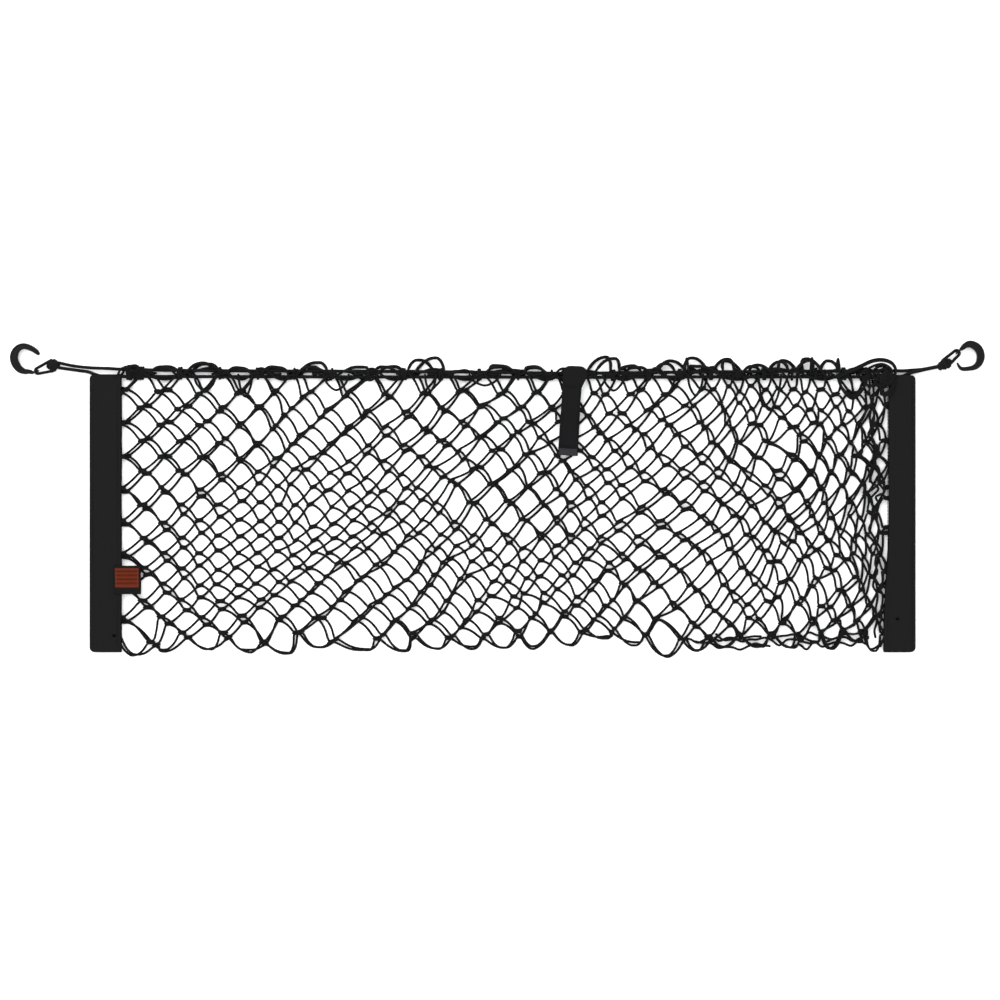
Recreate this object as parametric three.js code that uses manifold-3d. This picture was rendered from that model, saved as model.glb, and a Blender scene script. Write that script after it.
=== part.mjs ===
// Envelope cargo net for a car boot or a pickup bed, lying flat on its back with its pocket closed.
// A knotless net is folded along its bottom edge into two layers. A webbing band is folded over
// each side, two elastic cords run through the open top, and a hook hangs on a cord loop at each end.
// Millimetres. +X runs along the cords, +Y from the fold to the cords, +Z up from the surface.
// The origin is the centre of the footprint, on the surface.

import * as THREE from 'three';
import { mergeVertices } from 'three/addons/utils/BufferGeometryUtils.js';
import Module from 'manifold-3d';

const wasm = await Module();
wasm.setup();

// ---- Driving dimensions ----

const GAP = 0.3; // between pieces that touch

// The net. Its meshes are drawn 1.6 times the real 39 mm pitch, so that each gap can be cut.
const SHEET = 2.2; // thickness of one layer
const BAR = 4.0; // width of a mesh bar
const COLUMNS = 27; // half meshes from band to band
const ROWS = 11; // half meshes from the open top to the fold
const RIM_Y = 149.0; // tops of the rim loops
const FOLD_Y = -168.7; // joints of the folded row
const LEFT_PITCH = 32.65; // half mesh at the left band
const RIGHT_CROWDING = 11.0; // how much narrower the half mesh is at the right band
const JOINT_SHARE = 0.25; // half length of a joint, as a share of the half mesh
const LAYER_DRIFT_X = 8.0; // how far the back layer lies to the right of the front one
const LAYER_DRIFT_Y = -5.0;
const SWELL = 0.5; // how far the front layer stands off the back one
const BORDER_TOP_Y = 112.0; // top of the net's border inside the bands
const CORD_SIDE_Y = 117.0; // from here up, the front layer lies over the cords
const RISE_START_Y = 98.0; // where it starts to rise to them, and the back layer levels out
const BORDER_BOTTOM_Y = -160.0;

// The side bands, one strip folded over each side of the net.
const BAND_WIDTH = 34.6;
const LEFT_BAND_EDGE = -405.3; // where the left band ends and the net shows
const RIGHT_BAND_EDGE = 416.6;
const LEFT_BAND_TOP = 134.6;
const RIGHT_BAND_TOP = 133.8;
const BAND_BOTTOM = -165.0;
const BAND_LEAF = 1.2; // thickness of the strip
const BAND_HEIGHT = 7.7; // over both leaves and the net between them
const BAND_CORNER = 5.0;

// The elastic cords, their end knots and the loops that hold the hooks.
const CORD_DIAMETER = 3.6;
const CORD_LEVEL = 4.3; // height of the cords where they cross the net
const LOOP_DIAMETER = 3.0;
const KNOT_LEVEL = 4.8;
const KNOT_WIDTH = 13.8;
const KNOT_LENGTH = 11.2;
const LOOP_LENGTH = 11.1; // from the knot to the hook's eye
const LOOP_HALF_WIDTH = 4.1;

// The moulded hooks.
const HOOK_LEVEL = 4.7;
const EYE_RADIUS = 3.05; // of the eye's ring, at the middle of its wire
const EYE_WIRE = 1.15; // radius of that wire

// The closure strap over the cords, and its end patch.
const STRAP_WIDTH = 21.6;
const STRAP_LEAF = 1.2;
const STRAP_X = 81.2; // middle of the strap where it crosses the cords
const STRAP_CROSSING_Y = 135.0;
const STRAP_TILT = THREE.MathUtils.degToRad(-3.4); // its tail leans to the left
const STRAP_TOP = 143.8;
const STRAP_BOTTOM = 46.8;
const STRAP_PATCH_LENGTH = 7.6;
const STRAP_PATCH_WIDTH = 19.4;
const STRAP_PATCH_THICKNESS = 1.0;

// The folded label at the left band's inner edge.
const LABEL_LEFT = -412.9;
const LABEL_RIGHT = -383.7;
const LABEL_TOP = -71.6;
const LABEL_BOTTOM = -102.4;
const LABEL_LEAF = 0.8;
const LABEL_LEVEL = 8.0; // underside of its front leaf

// ---- Colours ----

const COLOUR = {
  net: 0x1c1c1d,
  band: 0x222223,
  cord: 0x181819,
  hook: 0x1e1e20,
  strap: 0x212122,
  patch: 0x38383d,
  label: 0x8a2f1c,
};

// ---- Helpers ----

// A closed geometry as a manifold-3d solid.
function solidOf(geometry) {
  const bare = geometry.clone();
  bare.deleteAttribute('normal');
  bare.deleteAttribute('uv');
  const merged = mergeVertices(bare, 1e-4);
  return new wasm.Manifold(new wasm.Mesh({
    numProp: 3,
    vertProperties: new Float32Array(merged.attributes.position.array),
    triVerts: new Uint32Array(merged.index.array),
  }));
}

// A manifold-3d solid as a three.js geometry.
function geometryOf(solid) {
  const mesh = solid.getMesh();
  const geometry = new THREE.BufferGeometry();
  geometry.setAttribute('position', new THREE.BufferAttribute(mesh.vertProperties, 3));
  geometry.setIndex(new THREE.BufferAttribute(mesh.triVerts, 1));
  geometry.computeVertexNormals();
  return geometry;
}

function piece(name, geometry, colour, roughness = 0.85) {
  const material = new THREE.MeshStandardMaterial({ color: colour, roughness, metalness: 0 });
  const mesh = new THREE.Mesh(geometry, material);
  mesh.name = name;
  return mesh;
}

// A flat outline in X and Y, raised from z = 0 to the given depth.
function plate(outline, depth, holes = []) {
  const shape = new THREE.Shape(outline);
  shape.holes = holes.map((hole) => new THREE.Path(hole));
  return new THREE.ExtrudeGeometry(shape, { depth, bevelEnabled: false });
}

// A section drawn in X and Z, run along Y.
function runAlongY(section, from, to) {
  const geometry = plate(section, to - from);
  geometry.rotateX(Math.PI / 2);
  geometry.translate(0, to, 0);
  return geometry;
}

// A section drawn in Y and Z, run along X and centred on it.
function runAlongX(section, width) {
  const geometry = plate(section, width);
  geometry.rotateX(Math.PI / 2);
  geometry.rotateZ(Math.PI / 2);
  geometry.translate(-width / 2, 0, 0);
  return geometry;
}

// A round tube along a smooth route.
function tube(points, diameter, steps, sides = 8) {
  const section = new THREE.Shape();
  section.absarc(0, 0, diameter / 2, 0, 2 * Math.PI);
  const route = new THREE.CatmullRomCurve3(points, false, 'centripetal');
  const curveSegments = sides / 2; // three.js makes two segments of each in a full circle
  return new THREE.ExtrudeGeometry(section, { steps, extrudePath: route, curveSegments });
}

const vector = (list) => new THREE.Vector3(...list);
const share = THREE.MathUtils.smoothstep;

// ---- The net ----

// Each rim loop stands a little higher or lower than the next: [front, back], from the left.
const RIM_UNEVEN = [
  [-2.0, -3.0],
  [-1.5, 1.0],
  [1.5, -1.0],
  [2.0, 0.5],
  [-1.0, 1.5],
  [-2.5, 0.0],
  [0.5, 2.0],
  [1.0, -1.0],
  [0.0, -2.5],
  [2.0, 1.0],
  [-1.0, 2.0],
  [1.0, 0.0],
  [2.5, -1.0],
  [3.5, 4.0],
];

const FRONT = 0;
const BACK = 1;
const WAVE_X = [[3.2, 0.55, 0.35, 0.4], [3.4, 0.5, -0.3, 2.1]];
const WAVE_Y = [[2.4, 0.4, 0.62, 1.0], [2.2, 0.35, 0.7, 3.0]];

function wave([height, perRow, perColumn, phase], column, row) {
  return height * Math.sin(perRow * row + perColumn * column + phase);
}

// Where the net's joint lies. Both layers share the folded row and end at the bands.
function joint(layer, column, row) {
  const crowding = (RIGHT_CROWDING / 5) * column * (column / COLUMNS) ** 4;
  const inside = Math.sin((Math.PI * column) / COLUMNS);
  const middle = Math.sin((Math.PI * row) / ROWS) ** 2;
  const free = Math.min(1, 2.5 * inside) * middle;
  const point = new THREE.Vector2(
    LEFT_BAND_EDGE + LEFT_PITCH * column - crowding,
    THREE.MathUtils.lerp(RIM_Y, FOLD_Y, row / ROWS),
  );
  point.x += free * wave(WAVE_X[layer], column, row);
  point.y += free * wave(WAVE_Y[layer], column, row);
  if (layer === BACK) {
    point.x += free * LAYER_DRIFT_X;
    point.y += free * LAYER_DRIFT_Y;
  }
  if (row === 0) point.y += RIM_UNEVEN[column / 2][layer];
  return point;
}

// Half the length of the side-by-side stretch that joins two strands.
function jointHalf(column) {
  return JOINT_SHARE * (LEFT_PITCH - RIGHT_CROWDING * (column / COLUMNS) ** 4);
}

const SLANT = 0.72 * BAR; // from a bar's middle line to its edge, measured across or down
const BOW = 0.4; // how far a gap bows towards the band beside it
const WAIST = 1.6; // how far the bar beside the left band narrows where it meets the cords
const BORDER_STEP = 4.0; // from the height of the cords up to the bar's narrow place

// The gap between four joints, or its half beside a band.
function meshGap(layer, column, row) {
  const half = jointHalf(column);
  const above = joint(layer, column, row - 1);
  const below = joint(layer, column, row + 1);
  const corners = [];
  if (column < COLUMNS) {
    const right = joint(layer, column + 1, row);
    corners.push([below.x + half, below.y + SLANT]);
    corners.push([right.x - jointHalf(column + 1) - SLANT, right.y]);
    corners.push([above.x + half, above.y - SLANT]);
  } else {
    corners.push([RIGHT_BAND_EDGE - GAP - BAR, below.y + SLANT]);
    corners.push([RIGHT_BAND_EDGE - GAP - BAR + BOW, (above.y + below.y) / 2]);
    corners.push([RIGHT_BAND_EDGE - GAP - BAR, above.y - SLANT]);
  }
  if (column > 0) {
    const left = joint(layer, column - 1, row);
    corners.push([above.x - half, above.y - SLANT]);
    corners.push([left.x + jointHalf(column - 1) + SLANT, left.y]);
    corners.push([below.x - half, below.y + SLANT]);
  } else {
    corners.push([LEFT_BAND_EDGE + GAP + BAR, above.y - SLANT]);
    corners.push([LEFT_BAND_EDGE + GAP + BAR - BOW, (above.y + below.y) / 2]);
    corners.push([LEFT_BAND_EDGE + GAP + BAR, below.y + SLANT]);
  }
  return corners.map(([x, y]) => new THREE.Vector2(x, y));
}

// The outer edge of a top or bottom strand, left to right. `side` is 1 above it and -1 below.
function strandEdge(layer, row, side) {
  const points = [];
  for (let column = 0; column <= COLUMNS; column += 1) {
    const level = (column + row) % 2 === 0 ? row : row + 1;
    const centre = joint(layer, column, level);
    const peak = side > 0 ? level === row : level === row + 1;
    const offset = side * (peak ? BAR / 2 : SLANT);
    const half = peak ? jointHalf(column) : jointHalf(column) - BAR / 4;
    if (column > 0) points.push(new THREE.Vector2(centre.x - half, centre.y + offset));
    if (column < COLUMNS) points.push(new THREE.Vector2(centre.x + half, centre.y + offset));
  }
  return points;
}

// One layer's outline: the border inside each band, the rim loops and the loops of the fold.
function layerOutline(layer) {
  const left = LEFT_BAND_EDGE + GAP;
  const right = RIGHT_BAND_EDGE - GAP;
  const depth = BAND_WIDTH - BAND_HEIGHT / 2 - GAP;
  const rim = strandEdge(layer, 0, 1);
  const fold = strandEdge(layer, ROWS - 1, -1);
  rim[rim.length - 1].x -= SLANT;
  return [
    new THREE.Vector2(left - depth, BORDER_BOTTOM_Y),
    new THREE.Vector2(left, BORDER_BOTTOM_Y),
    new THREE.Vector2(left, fold[0].y),
    ...fold,
    new THREE.Vector2(right, fold[fold.length - 1].y),
    new THREE.Vector2(right, BORDER_BOTTOM_Y),
    new THREE.Vector2(right + depth, BORDER_BOTTOM_Y),
    new THREE.Vector2(right + depth, BORDER_TOP_Y),
    new THREE.Vector2(right, BORDER_TOP_Y),
    new THREE.Vector2(right, CORD_SIDE_Y + BORDER_STEP),
    ...rim.reverse(),
    new THREE.Vector2(left, rim[rim.length - 1].y),
    new THREE.Vector2(left + WAIST, CORD_SIDE_Y + BORDER_STEP),
    new THREE.Vector2(left, BORDER_TOP_Y),
    new THREE.Vector2(left - depth, BORDER_TOP_Y),
  ];
}

// How high a layer's underside lies. Both rise into the bands, and the front one over the cords.
function layerLevel(layer, x, y) {
  const fromBand = Math.min(x - LEFT_BAND_EDGE, RIGHT_BAND_EDGE - x);
  const nearBand = 1 - share(fromBand, 12, 55);
  const climb = (y - RISE_START_Y) / (CORD_SIDE_Y - RISE_START_Y);
  const nearCords = THREE.MathUtils.clamp(climb, 0, 1);
  const inBand = y <= BORDER_TOP_Y && fromBand <= 1 ? 1 : 1 - nearCords;
  const rise = (BAND_LEAF + GAP) * nearBand * inBand;
  if (layer === BACK) return rise;
  const low = SHEET + GAP + rise + SWELL * (1 - nearBand);
  const high = CORD_LEVEL + CORD_DIAMETER / 2 + GAP;
  return THREE.MathUtils.lerp(high, low, inBand);
}

function layerSolid(layer) {
  const holes = [];
  for (let row = 1; row < ROWS; row += 1) {
    for (let column = (row + 1) % 2; column <= COLUMNS; column += 2) {
      holes.push(meshGap(layer, column, row));
    }
  }
  const geometry = plate(layerOutline(layer), SHEET, holes);
  const place = geometry.attributes.position;
  for (let i = 0; i < place.count; i += 1) {
    place.setZ(i, place.getZ(i) + layerLevel(layer, place.getX(i), place.getY(i)));
  }
  return solidOf(geometry);
}

// The joints of the folded row, which turn from the front layer to the back one.
function foldTurn(column) {
  const centre = joint(FRONT, column, ROWS);
  const half = jointHalf(column) - 1;
  const bottom = layerLevel(BACK, centre.x, centre.y) + SHEET / 2;
  const top = layerLevel(FRONT, centre.x, centre.y) + SHEET / 2;
  const block = new THREE.BoxGeometry(2 * half, BAR - 1, top - bottom);
  block.translate(centre.x, centre.y, (top + bottom) / 2);
  return solidOf(block);
}

function net() {
  let solid = layerSolid(FRONT).add(layerSolid(BACK));
  for (let column = 1; column < COLUMNS; column += 2) solid = solid.add(foldTurn(column));
  return piece('net', geometryOf(solid), COLOUR.net, 0.9);
}

// ---- The side bands ----

// A U-shaped section: back leaf, round fold at x = 0, front leaf. It opens towards +x.
function bandSection() {
  const outer = BAND_HEIGHT / 2;
  const inner = outer - BAND_LEAF;
  const section = new THREE.Shape();
  section.moveTo(BAND_WIDTH, 0);
  section.lineTo(BAND_WIDTH, BAND_LEAF);
  section.lineTo(outer, BAND_LEAF);
  section.absarc(outer, outer, inner, -Math.PI / 2, Math.PI / 2, true);
  section.lineTo(BAND_WIDTH, BAND_HEIGHT - BAND_LEAF);
  section.lineTo(BAND_WIDTH, BAND_HEIGHT);
  section.lineTo(outer, BAND_HEIGHT);
  section.absarc(outer, outer, outer, Math.PI / 2, -Math.PI / 2, false);
  return section.getPoints(4);
}

// The band's plan, with round corners at its outer edge.
function bandPlan(bottom, top) {
  const plan = new THREE.Shape();
  plan.moveTo(BAND_WIDTH + 1, bottom);
  plan.lineTo(BAND_WIDTH + 1, top);
  plan.lineTo(BAND_CORNER, top);
  plan.absarc(BAND_CORNER, top - BAND_CORNER, BAND_CORNER, Math.PI / 2, Math.PI, false);
  plan.absarc(BAND_CORNER, bottom + BAND_CORNER, BAND_CORNER, Math.PI, 1.5 * Math.PI, false);
  return plan.getPoints(4);
}

function band(name, outerEdge, facing, top) {
  const sleeve = runAlongY(bandSection(), BAND_BOTTOM - 1, top + 1);
  const outline = plate(bandPlan(BAND_BOTTOM, top), BAND_HEIGHT + 2);
  outline.translate(0, 0, -1);
  let solid = solidOf(sleeve).intersect(solidOf(outline));
  if (facing < 0) solid = solid.rotate([0, 0, 180]).translate([0, BAND_BOTTOM + top, 0]);
  solid = solid.translate([outerEdge, 0, 0]);
  return piece(name, geometryOf(solid), COLOUR.band, 0.92);
}

// ---- Cords, knots and loops ----

const BACK_CORD_ROUTE = [
  [-472.3, 147.0, 4.8],
  [-462.0, 144.6, 4.8],
  [-450.0, 142.7, 4.6],
  [-438.0, 141.6, 4.4],
  [-420.0, 141.0, 4.3],
  [-400.0, 140.0, 4.3],
  [-340.0, 138.9, 4.3],
  [-250.0, 138.3, 4.3],
  [-150.0, 137.9, 4.3],
  [-50.0, 137.3, 4.3],
  [30.0, 136.3, 4.3],
  [81.0, 135.6, 4.3],
  [130.0, 136.2, 4.3],
  [220.0, 137.2, 4.3],
  [320.0, 137.9, 4.3],
  [400.0, 138.4, 4.3],
  [420.0, 138.5, 4.1],
  [430.0, 138.5, 3.4],
  [438.0, 138.5, 2.6],
  [447.0, 139.2, 2.1],
  [458.0, 140.1, 2.2],
  [466.0, 141.5, 2.3],
  [475.6, 143.4, 2.8],
];

const FRONT_CORD_ROUTE = [
  [-471.9, 141.6, 4.8],
  [-462.0, 140.2, 4.8],
  [-450.0, 138.5, 4.6],
  [-441.5, 137.4, 4.4],
  [-434.5, 134.8, 4.3],
  [-427.0, 132.7, 4.3],
  [-415.0, 132.4, 4.3],
  [-400.0, 132.4, 4.3],
  [-300.0, 132.2, 4.3],
  [-150.0, 131.9, 4.3],
  [30.0, 131.6, 4.3],
  [81.0, 131.4, 4.3],
  [150.0, 131.6, 4.3],
  [250.0, 131.9, 4.3],
  [350.0, 131.9, 4.3],
  [415.0, 131.8, 4.3],
  [428.0, 131.8, 4.3],
  [436.0, 132.5, 4.3],
  [442.0, 134.8, 4.2],
  [447.0, 136.5, 4.9],
  [452.0, 137.6, 6.0],
  [458.0, 139.0, 6.2],
  [466.0, 140.7, 6.3],
  [475.9, 142.8, 6.8],
];

function cord(name, route) {
  return piece(name, tube(route.map(vector), CORD_DIAMETER, 72), COLOUR.cord);
}

// Knot outline from its middle line, as shares of its radius and half length: three wraps.
const KNOT_WRAPS = [
  [0, -1],
  [0.62, -0.98],
  [0.84, -0.8],
  [0.88, -0.6],
  [0.78, -0.4],
  [0.96, -0.2],
  [1, 0],
  [0.96, 0.2],
  [0.8, 0.4],
  [0.86, 0.6],
  [0.8, 0.8],
  [0.6, 0.98],
  [0, 1],
];

const KNOT_SIDES = 14;

function knot(name, [x, y], axisAngle) {
  const profile = KNOT_WRAPS.map(([across, along]) => new THREE.Vector2(
    (across * KNOT_WIDTH) / 2,
    (along * KNOT_LENGTH) / 2,
  ));
  const geometry = new THREE.LatheGeometry(profile, KNOT_SIDES);
  geometry.rotateY(Math.PI / KNOT_SIDES);
  geometry.scale(1, 1, (2 * KNOT_LEVEL) / (KNOT_WIDTH * Math.cos(Math.PI / KNOT_SIDES)));
  geometry.rotateZ(axisAngle - Math.PI / 2);
  geometry.translate(x, y, KNOT_LEVEL);
  return piece(name, geometry, COLOUR.cord);
}

// A loop of cord from one side of the knot, round the eye's wire and back to the knot.
// It is drawn with the middle of that wire at the origin and the knot at +x.
function loopRoute() {
  const turn = LOOP_DIAMETER / 2 + EYE_WIRE + GAP;
  const end = LOOP_LENGTH;
  const half = [
    [0, turn],
    [0.3 * end, 0.93 * LOOP_HALF_WIDTH],
    [0.55 * end, LOOP_HALF_WIDTH],
    [0.8 * end, 0.92 * LOOP_HALF_WIDTH],
    [end, 0.66 * LOOP_HALF_WIDTH],
  ];
  const bend = [1, 2, 3].map((i) => (Math.PI / 4) * i);
  return [
    ...half.slice().reverse(),
    ...bend.map((a) => [-turn * Math.sin(a), turn * Math.cos(a)]),
    ...half.map(([x, y]) => [x, -y]),
  ].map(([x, y]) => new THREE.Vector3(x, y, 0));
}

function cordLoop(name, [x, y], angle) {
  const geometry = tube(loopRoute(), LOOP_DIAMETER, 26);
  geometry.rotateZ(angle);
  geometry.translate(x, y, HOOK_LEVEL);
  return piece(name, geometry, COLOUR.cord);
}

// ---- The hooks ----

// Stations along a hook's middle line, from its eye to its tip: [x, y, width, depth].
const LEFT_HOOK = [
  [-504.6, 137.5, 4.6, 5.4],
  [-510.0, 137.8, 6.0, 7.0],
  [-515.0, 140.2, 7.6, 8.8],
  [-518.8, 144.8, 8.6, 9.4],
  [-520.9, 150.0, 8.7, 9.4],
  [-521.0, 155.0, 8.6, 9.4],
  [-519.0, 160.2, 7.9, 8.8],
  [-515.5, 163.6, 7.0, 8.0],
  [-510.3, 165.0, 6.4, 7.2],
  [-505.2, 163.8, 6.0, 6.6],
  [-500.6, 161.6, 5.6, 6.0],
  [-496.6, 158.7, 5.0, 5.4],
  [-494.6, 156.6, 3.4, 3.8],
];

const RIGHT_HOOK = [
  [501.6, 163.0, 4.8, 5.4],
  [504.6, 165.6, 6.0, 7.0],
  [509.2, 167.2, 7.6, 8.8],
  [514.6, 165.6, 8.5, 9.4],
  [518.9, 161.8, 8.7, 9.4],
  [521.0, 156.4, 8.6, 9.4],
  [520.9, 151.0, 8.2, 9.0],
  [519.0, 146.2, 7.2, 8.2],
  [515.0, 142.5, 5.8, 7.2],
  [508.6, 140.8, 4.6, 6.2],
  [501.4, 140.4, 4.2, 5.6],
  [498.3, 142.6, 3.2, 4.8],
  [496.2, 146.2, 2.0, 4.0],
];

// An eight-sided section with flat sides, top and bottom, as shares of its width and depth.
const HOOK_SECTION = [
  [0.5, -0.28],
  [0.5, 0.28],
  [0.28, 0.5],
  [-0.28, 0.5],
  [-0.5, 0.28],
  [-0.5, -0.28],
  [-0.28, -0.5],
  [0.28, -0.5],
];

// A solid bar of changing section through the stations, all upright, with a flat cap at each end.
function taperedBar(stations) {
  const sides = HOOK_SECTION.length;
  const points = [];
  const faces = [];
  stations.forEach(([x, y, width, depth], i) => {
    const before = stations[Math.max(i - 1, 0)];
    const after = stations[Math.min(i + 1, stations.length - 1)];
    const along = new THREE.Vector2(after[0] - before[0], after[1] - before[1]).normalize();
    for (const [across, up] of HOOK_SECTION) {
      points.push(x + across * width * along.y, y - across * width * along.x, up * depth);
    }
    if (i === 0) return;
    for (let side = 0; side < sides; side += 1) {
      const next = (side + 1) % sides;
      const [a, b] = [(i - 1) * sides + side, (i - 1) * sides + next];
      faces.push(a, a + sides, b, b, a + sides, b + sides);
    }
  });
  const last = (stations.length - 1) * sides;
  for (let side = 1; side < sides - 1; side += 1) {
    faces.push(0, side, side + 1);
    faces.push(last, last + side + 1, last + side);
  }
  const geometry = new THREE.BufferGeometry();
  geometry.setAttribute('position', new THREE.Float32BufferAttribute(points, 3));
  geometry.setIndex(faces);
  return geometry;
}

// The eye is an upright ring. `pull` is the direction of the cord loop that runs through it.
function eye([x, y], pull) {
  const ring = new THREE.TorusGeometry(EYE_RADIUS, EYE_WIRE, 8, 16);
  ring.rotateX(Math.PI / 2);
  ring.translate(-EYE_RADIUS, 0, 0);
  ring.rotateZ(pull);
  ring.translate(x, y, 0);
  return ring;
}

function hook(name, stations, eyeWire, pull) {
  const shank = [
    eyeWire[0] - 1.9 * EYE_RADIUS * Math.cos(pull),
    eyeWire[1] - 1.9 * EYE_RADIUS * Math.sin(pull),
    3.4,
    4.4,
  ];
  const bar = solidOf(taperedBar([shank, ...stations]));
  const solid = bar.add(solidOf(eye(eyeWire, pull))).translate([0, 0, HOOK_LEVEL]);
  return piece(name, geometryOf(solid), COLOUR.hook, 0.5);
}

// ---- The closure strap ----

// Side view of the strap, [y, z] along its outer face: up the front, round the fold, to its end
// behind the cords.
const STRAP_BODY_LEVEL = 2 * SHEET + 2 * GAP + SWELL + STRAP_LEAF + 0.1;
const STRAP_CREST = CORD_LEVEL + CORD_DIAMETER / 2 + SHEET + 2 * GAP + STRAP_LEAF;
const STRAP_RISE_START_Y = 78.0; // where its body starts to climb over the cords
const STRAP_RISE_END_Y = 109.0;
const STRAP_BACK_END_Y = 130.2;
const STRAP_BACK_LEVEL = 0.8;
const STRAP_FOLD_RADIUS = 2.4;

function strapSection() {
  const fold = STRAP_TOP - STRAP_FOLD_RADIUS;
  const inner = STRAP_TOP - STRAP_LEAF;
  return [
    [STRAP_BOTTOM, STRAP_BODY_LEVEL - STRAP_LEAF],
    [STRAP_RISE_START_Y, STRAP_BODY_LEVEL - STRAP_LEAF],
    [STRAP_RISE_END_Y, STRAP_CREST - STRAP_LEAF],
    [fold - 0.4, STRAP_CREST - STRAP_LEAF],
    [inner, STRAP_CREST - STRAP_LEAF - 2],
    [inner, STRAP_BACK_LEVEL + STRAP_LEAF + 1.8],
    [fold - 0.4, STRAP_BACK_LEVEL + STRAP_LEAF],
    [STRAP_BACK_END_Y, STRAP_BACK_LEVEL + STRAP_LEAF],
    [STRAP_BACK_END_Y, STRAP_BACK_LEVEL],
    [fold, STRAP_BACK_LEVEL],
    [STRAP_TOP, STRAP_BACK_LEVEL + STRAP_FOLD_RADIUS],
    [STRAP_TOP, STRAP_CREST - STRAP_FOLD_RADIUS],
    [fold, STRAP_CREST],
    [STRAP_RISE_END_Y - 0.4, STRAP_CREST],
    [STRAP_RISE_START_Y - 0.4, STRAP_BODY_LEVEL],
    [STRAP_BOTTOM, STRAP_BODY_LEVEL],
  ].map(([y, z]) => new THREE.Vector2(y, z));
}

// The strap leans about the point where it crosses the cords.
function lean(mesh) {
  mesh.geometry.translate(0, -STRAP_CROSSING_Y, 0);
  mesh.geometry.rotateZ(STRAP_TILT);
  mesh.geometry.translate(STRAP_X, STRAP_CROSSING_Y, 0);
  return mesh;
}

function closureStrap() {
  return lean(piece('closure_strap', runAlongX(strapSection(), STRAP_WIDTH), COLOUR.strap));
}

function strapPatch() {
  const patch = new THREE.BoxGeometry(STRAP_PATCH_WIDTH, STRAP_PATCH_LENGTH, STRAP_PATCH_THICKNESS);
  const level = STRAP_BODY_LEVEL + GAP + STRAP_PATCH_THICKNESS / 2;
  patch.translate(0, STRAP_BOTTOM + STRAP_PATCH_LENGTH / 2, level);
  return lean(piece('strap_patch', patch, COLOUR.patch));
}

// ---- The label ----

// A folded tag. Its front leaf lies on the band, its fold is over the net.
function label() {
  const top = LABEL_LEVEL + LABEL_LEAF;
  const bottom = LABEL_LEVEL - GAP - LABEL_LEAF;
  const bend = (top - bottom) / 2;
  const section = [
    [LABEL_LEFT, LABEL_LEVEL],
    [LABEL_RIGHT - LABEL_LEAF, LABEL_LEVEL],
    [LABEL_RIGHT - LABEL_LEAF, LABEL_LEVEL - GAP],
    [LEFT_BAND_EDGE + GAP, LABEL_LEVEL - GAP],
    [LEFT_BAND_EDGE + GAP, bottom],
    [LABEL_RIGHT - bend, bottom],
    [LABEL_RIGHT, bottom + bend * 0.7],
    [LABEL_RIGHT, top - bend * 0.7],
    [LABEL_RIGHT - bend, top],
    [LABEL_LEFT, top],
  ].map(([x, z]) => new THREE.Vector2(x, z));
  return piece('label', runAlongY(section, LABEL_BOTTOM, LABEL_TOP), COLOUR.label, 0.8);
}

// ---- The whole part ----

const LEFT_EYE = [-495.2, 138.4]; // middle of the eye's wire that the loop turns round
const LEFT_PULL = THREE.MathUtils.degToRad(20);
const RIGHT_EYE = [495.2, 157.5];
const RIGHT_PULL = THREE.MathUtils.degToRad(-138);
const LEFT_KNOT = [-478.6, 144.6];
const RIGHT_KNOT = [481.7, 145.4];

const part = new THREE.Group();
part.add(net());
part.add(band('band_left', LEFT_BAND_EDGE - BAND_WIDTH, 1, LEFT_BAND_TOP));
part.add(band('band_right', RIGHT_BAND_EDGE + BAND_WIDTH, -1, RIGHT_BAND_TOP));
part.add(cord('cord_front', FRONT_CORD_ROUTE));
part.add(cord('cord_back', BACK_CORD_ROUTE));
part.add(knot('knot_left', LEFT_KNOT, THREE.MathUtils.degToRad(13)));
part.add(knot('knot_right', RIGHT_KNOT, THREE.MathUtils.degToRad(24)));
part.add(cordLoop('loop_left', LEFT_EYE, LEFT_PULL));
part.add(cordLoop('loop_right', RIGHT_EYE, RIGHT_PULL));
part.add(hook('hook_left', LEFT_HOOK, LEFT_EYE, LEFT_PULL));
part.add(hook('hook_right', RIGHT_HOOK, RIGHT_EYE, RIGHT_PULL));
part.add(closureStrap());
part.add(strapPatch());
part.add(label());

export default part;
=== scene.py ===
# %% [markdown]
# # An envelope cargo net, laid flat
# The real thing is a rectangle of black knotless netting, folded along its bottom edge into a
# pocket. A webbing band closes each side, two elastic cords run through the open top and end in
# moulded hooks, and a strap holds the cords together right of the middle.
# A finished CAD model already gives every piece its place and size. This lesson gives each piece
# its real surface: threads instead of flat bars, braid, webbing, stitches and moulded plastic.

# %% Load the CAD model
import math

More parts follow.
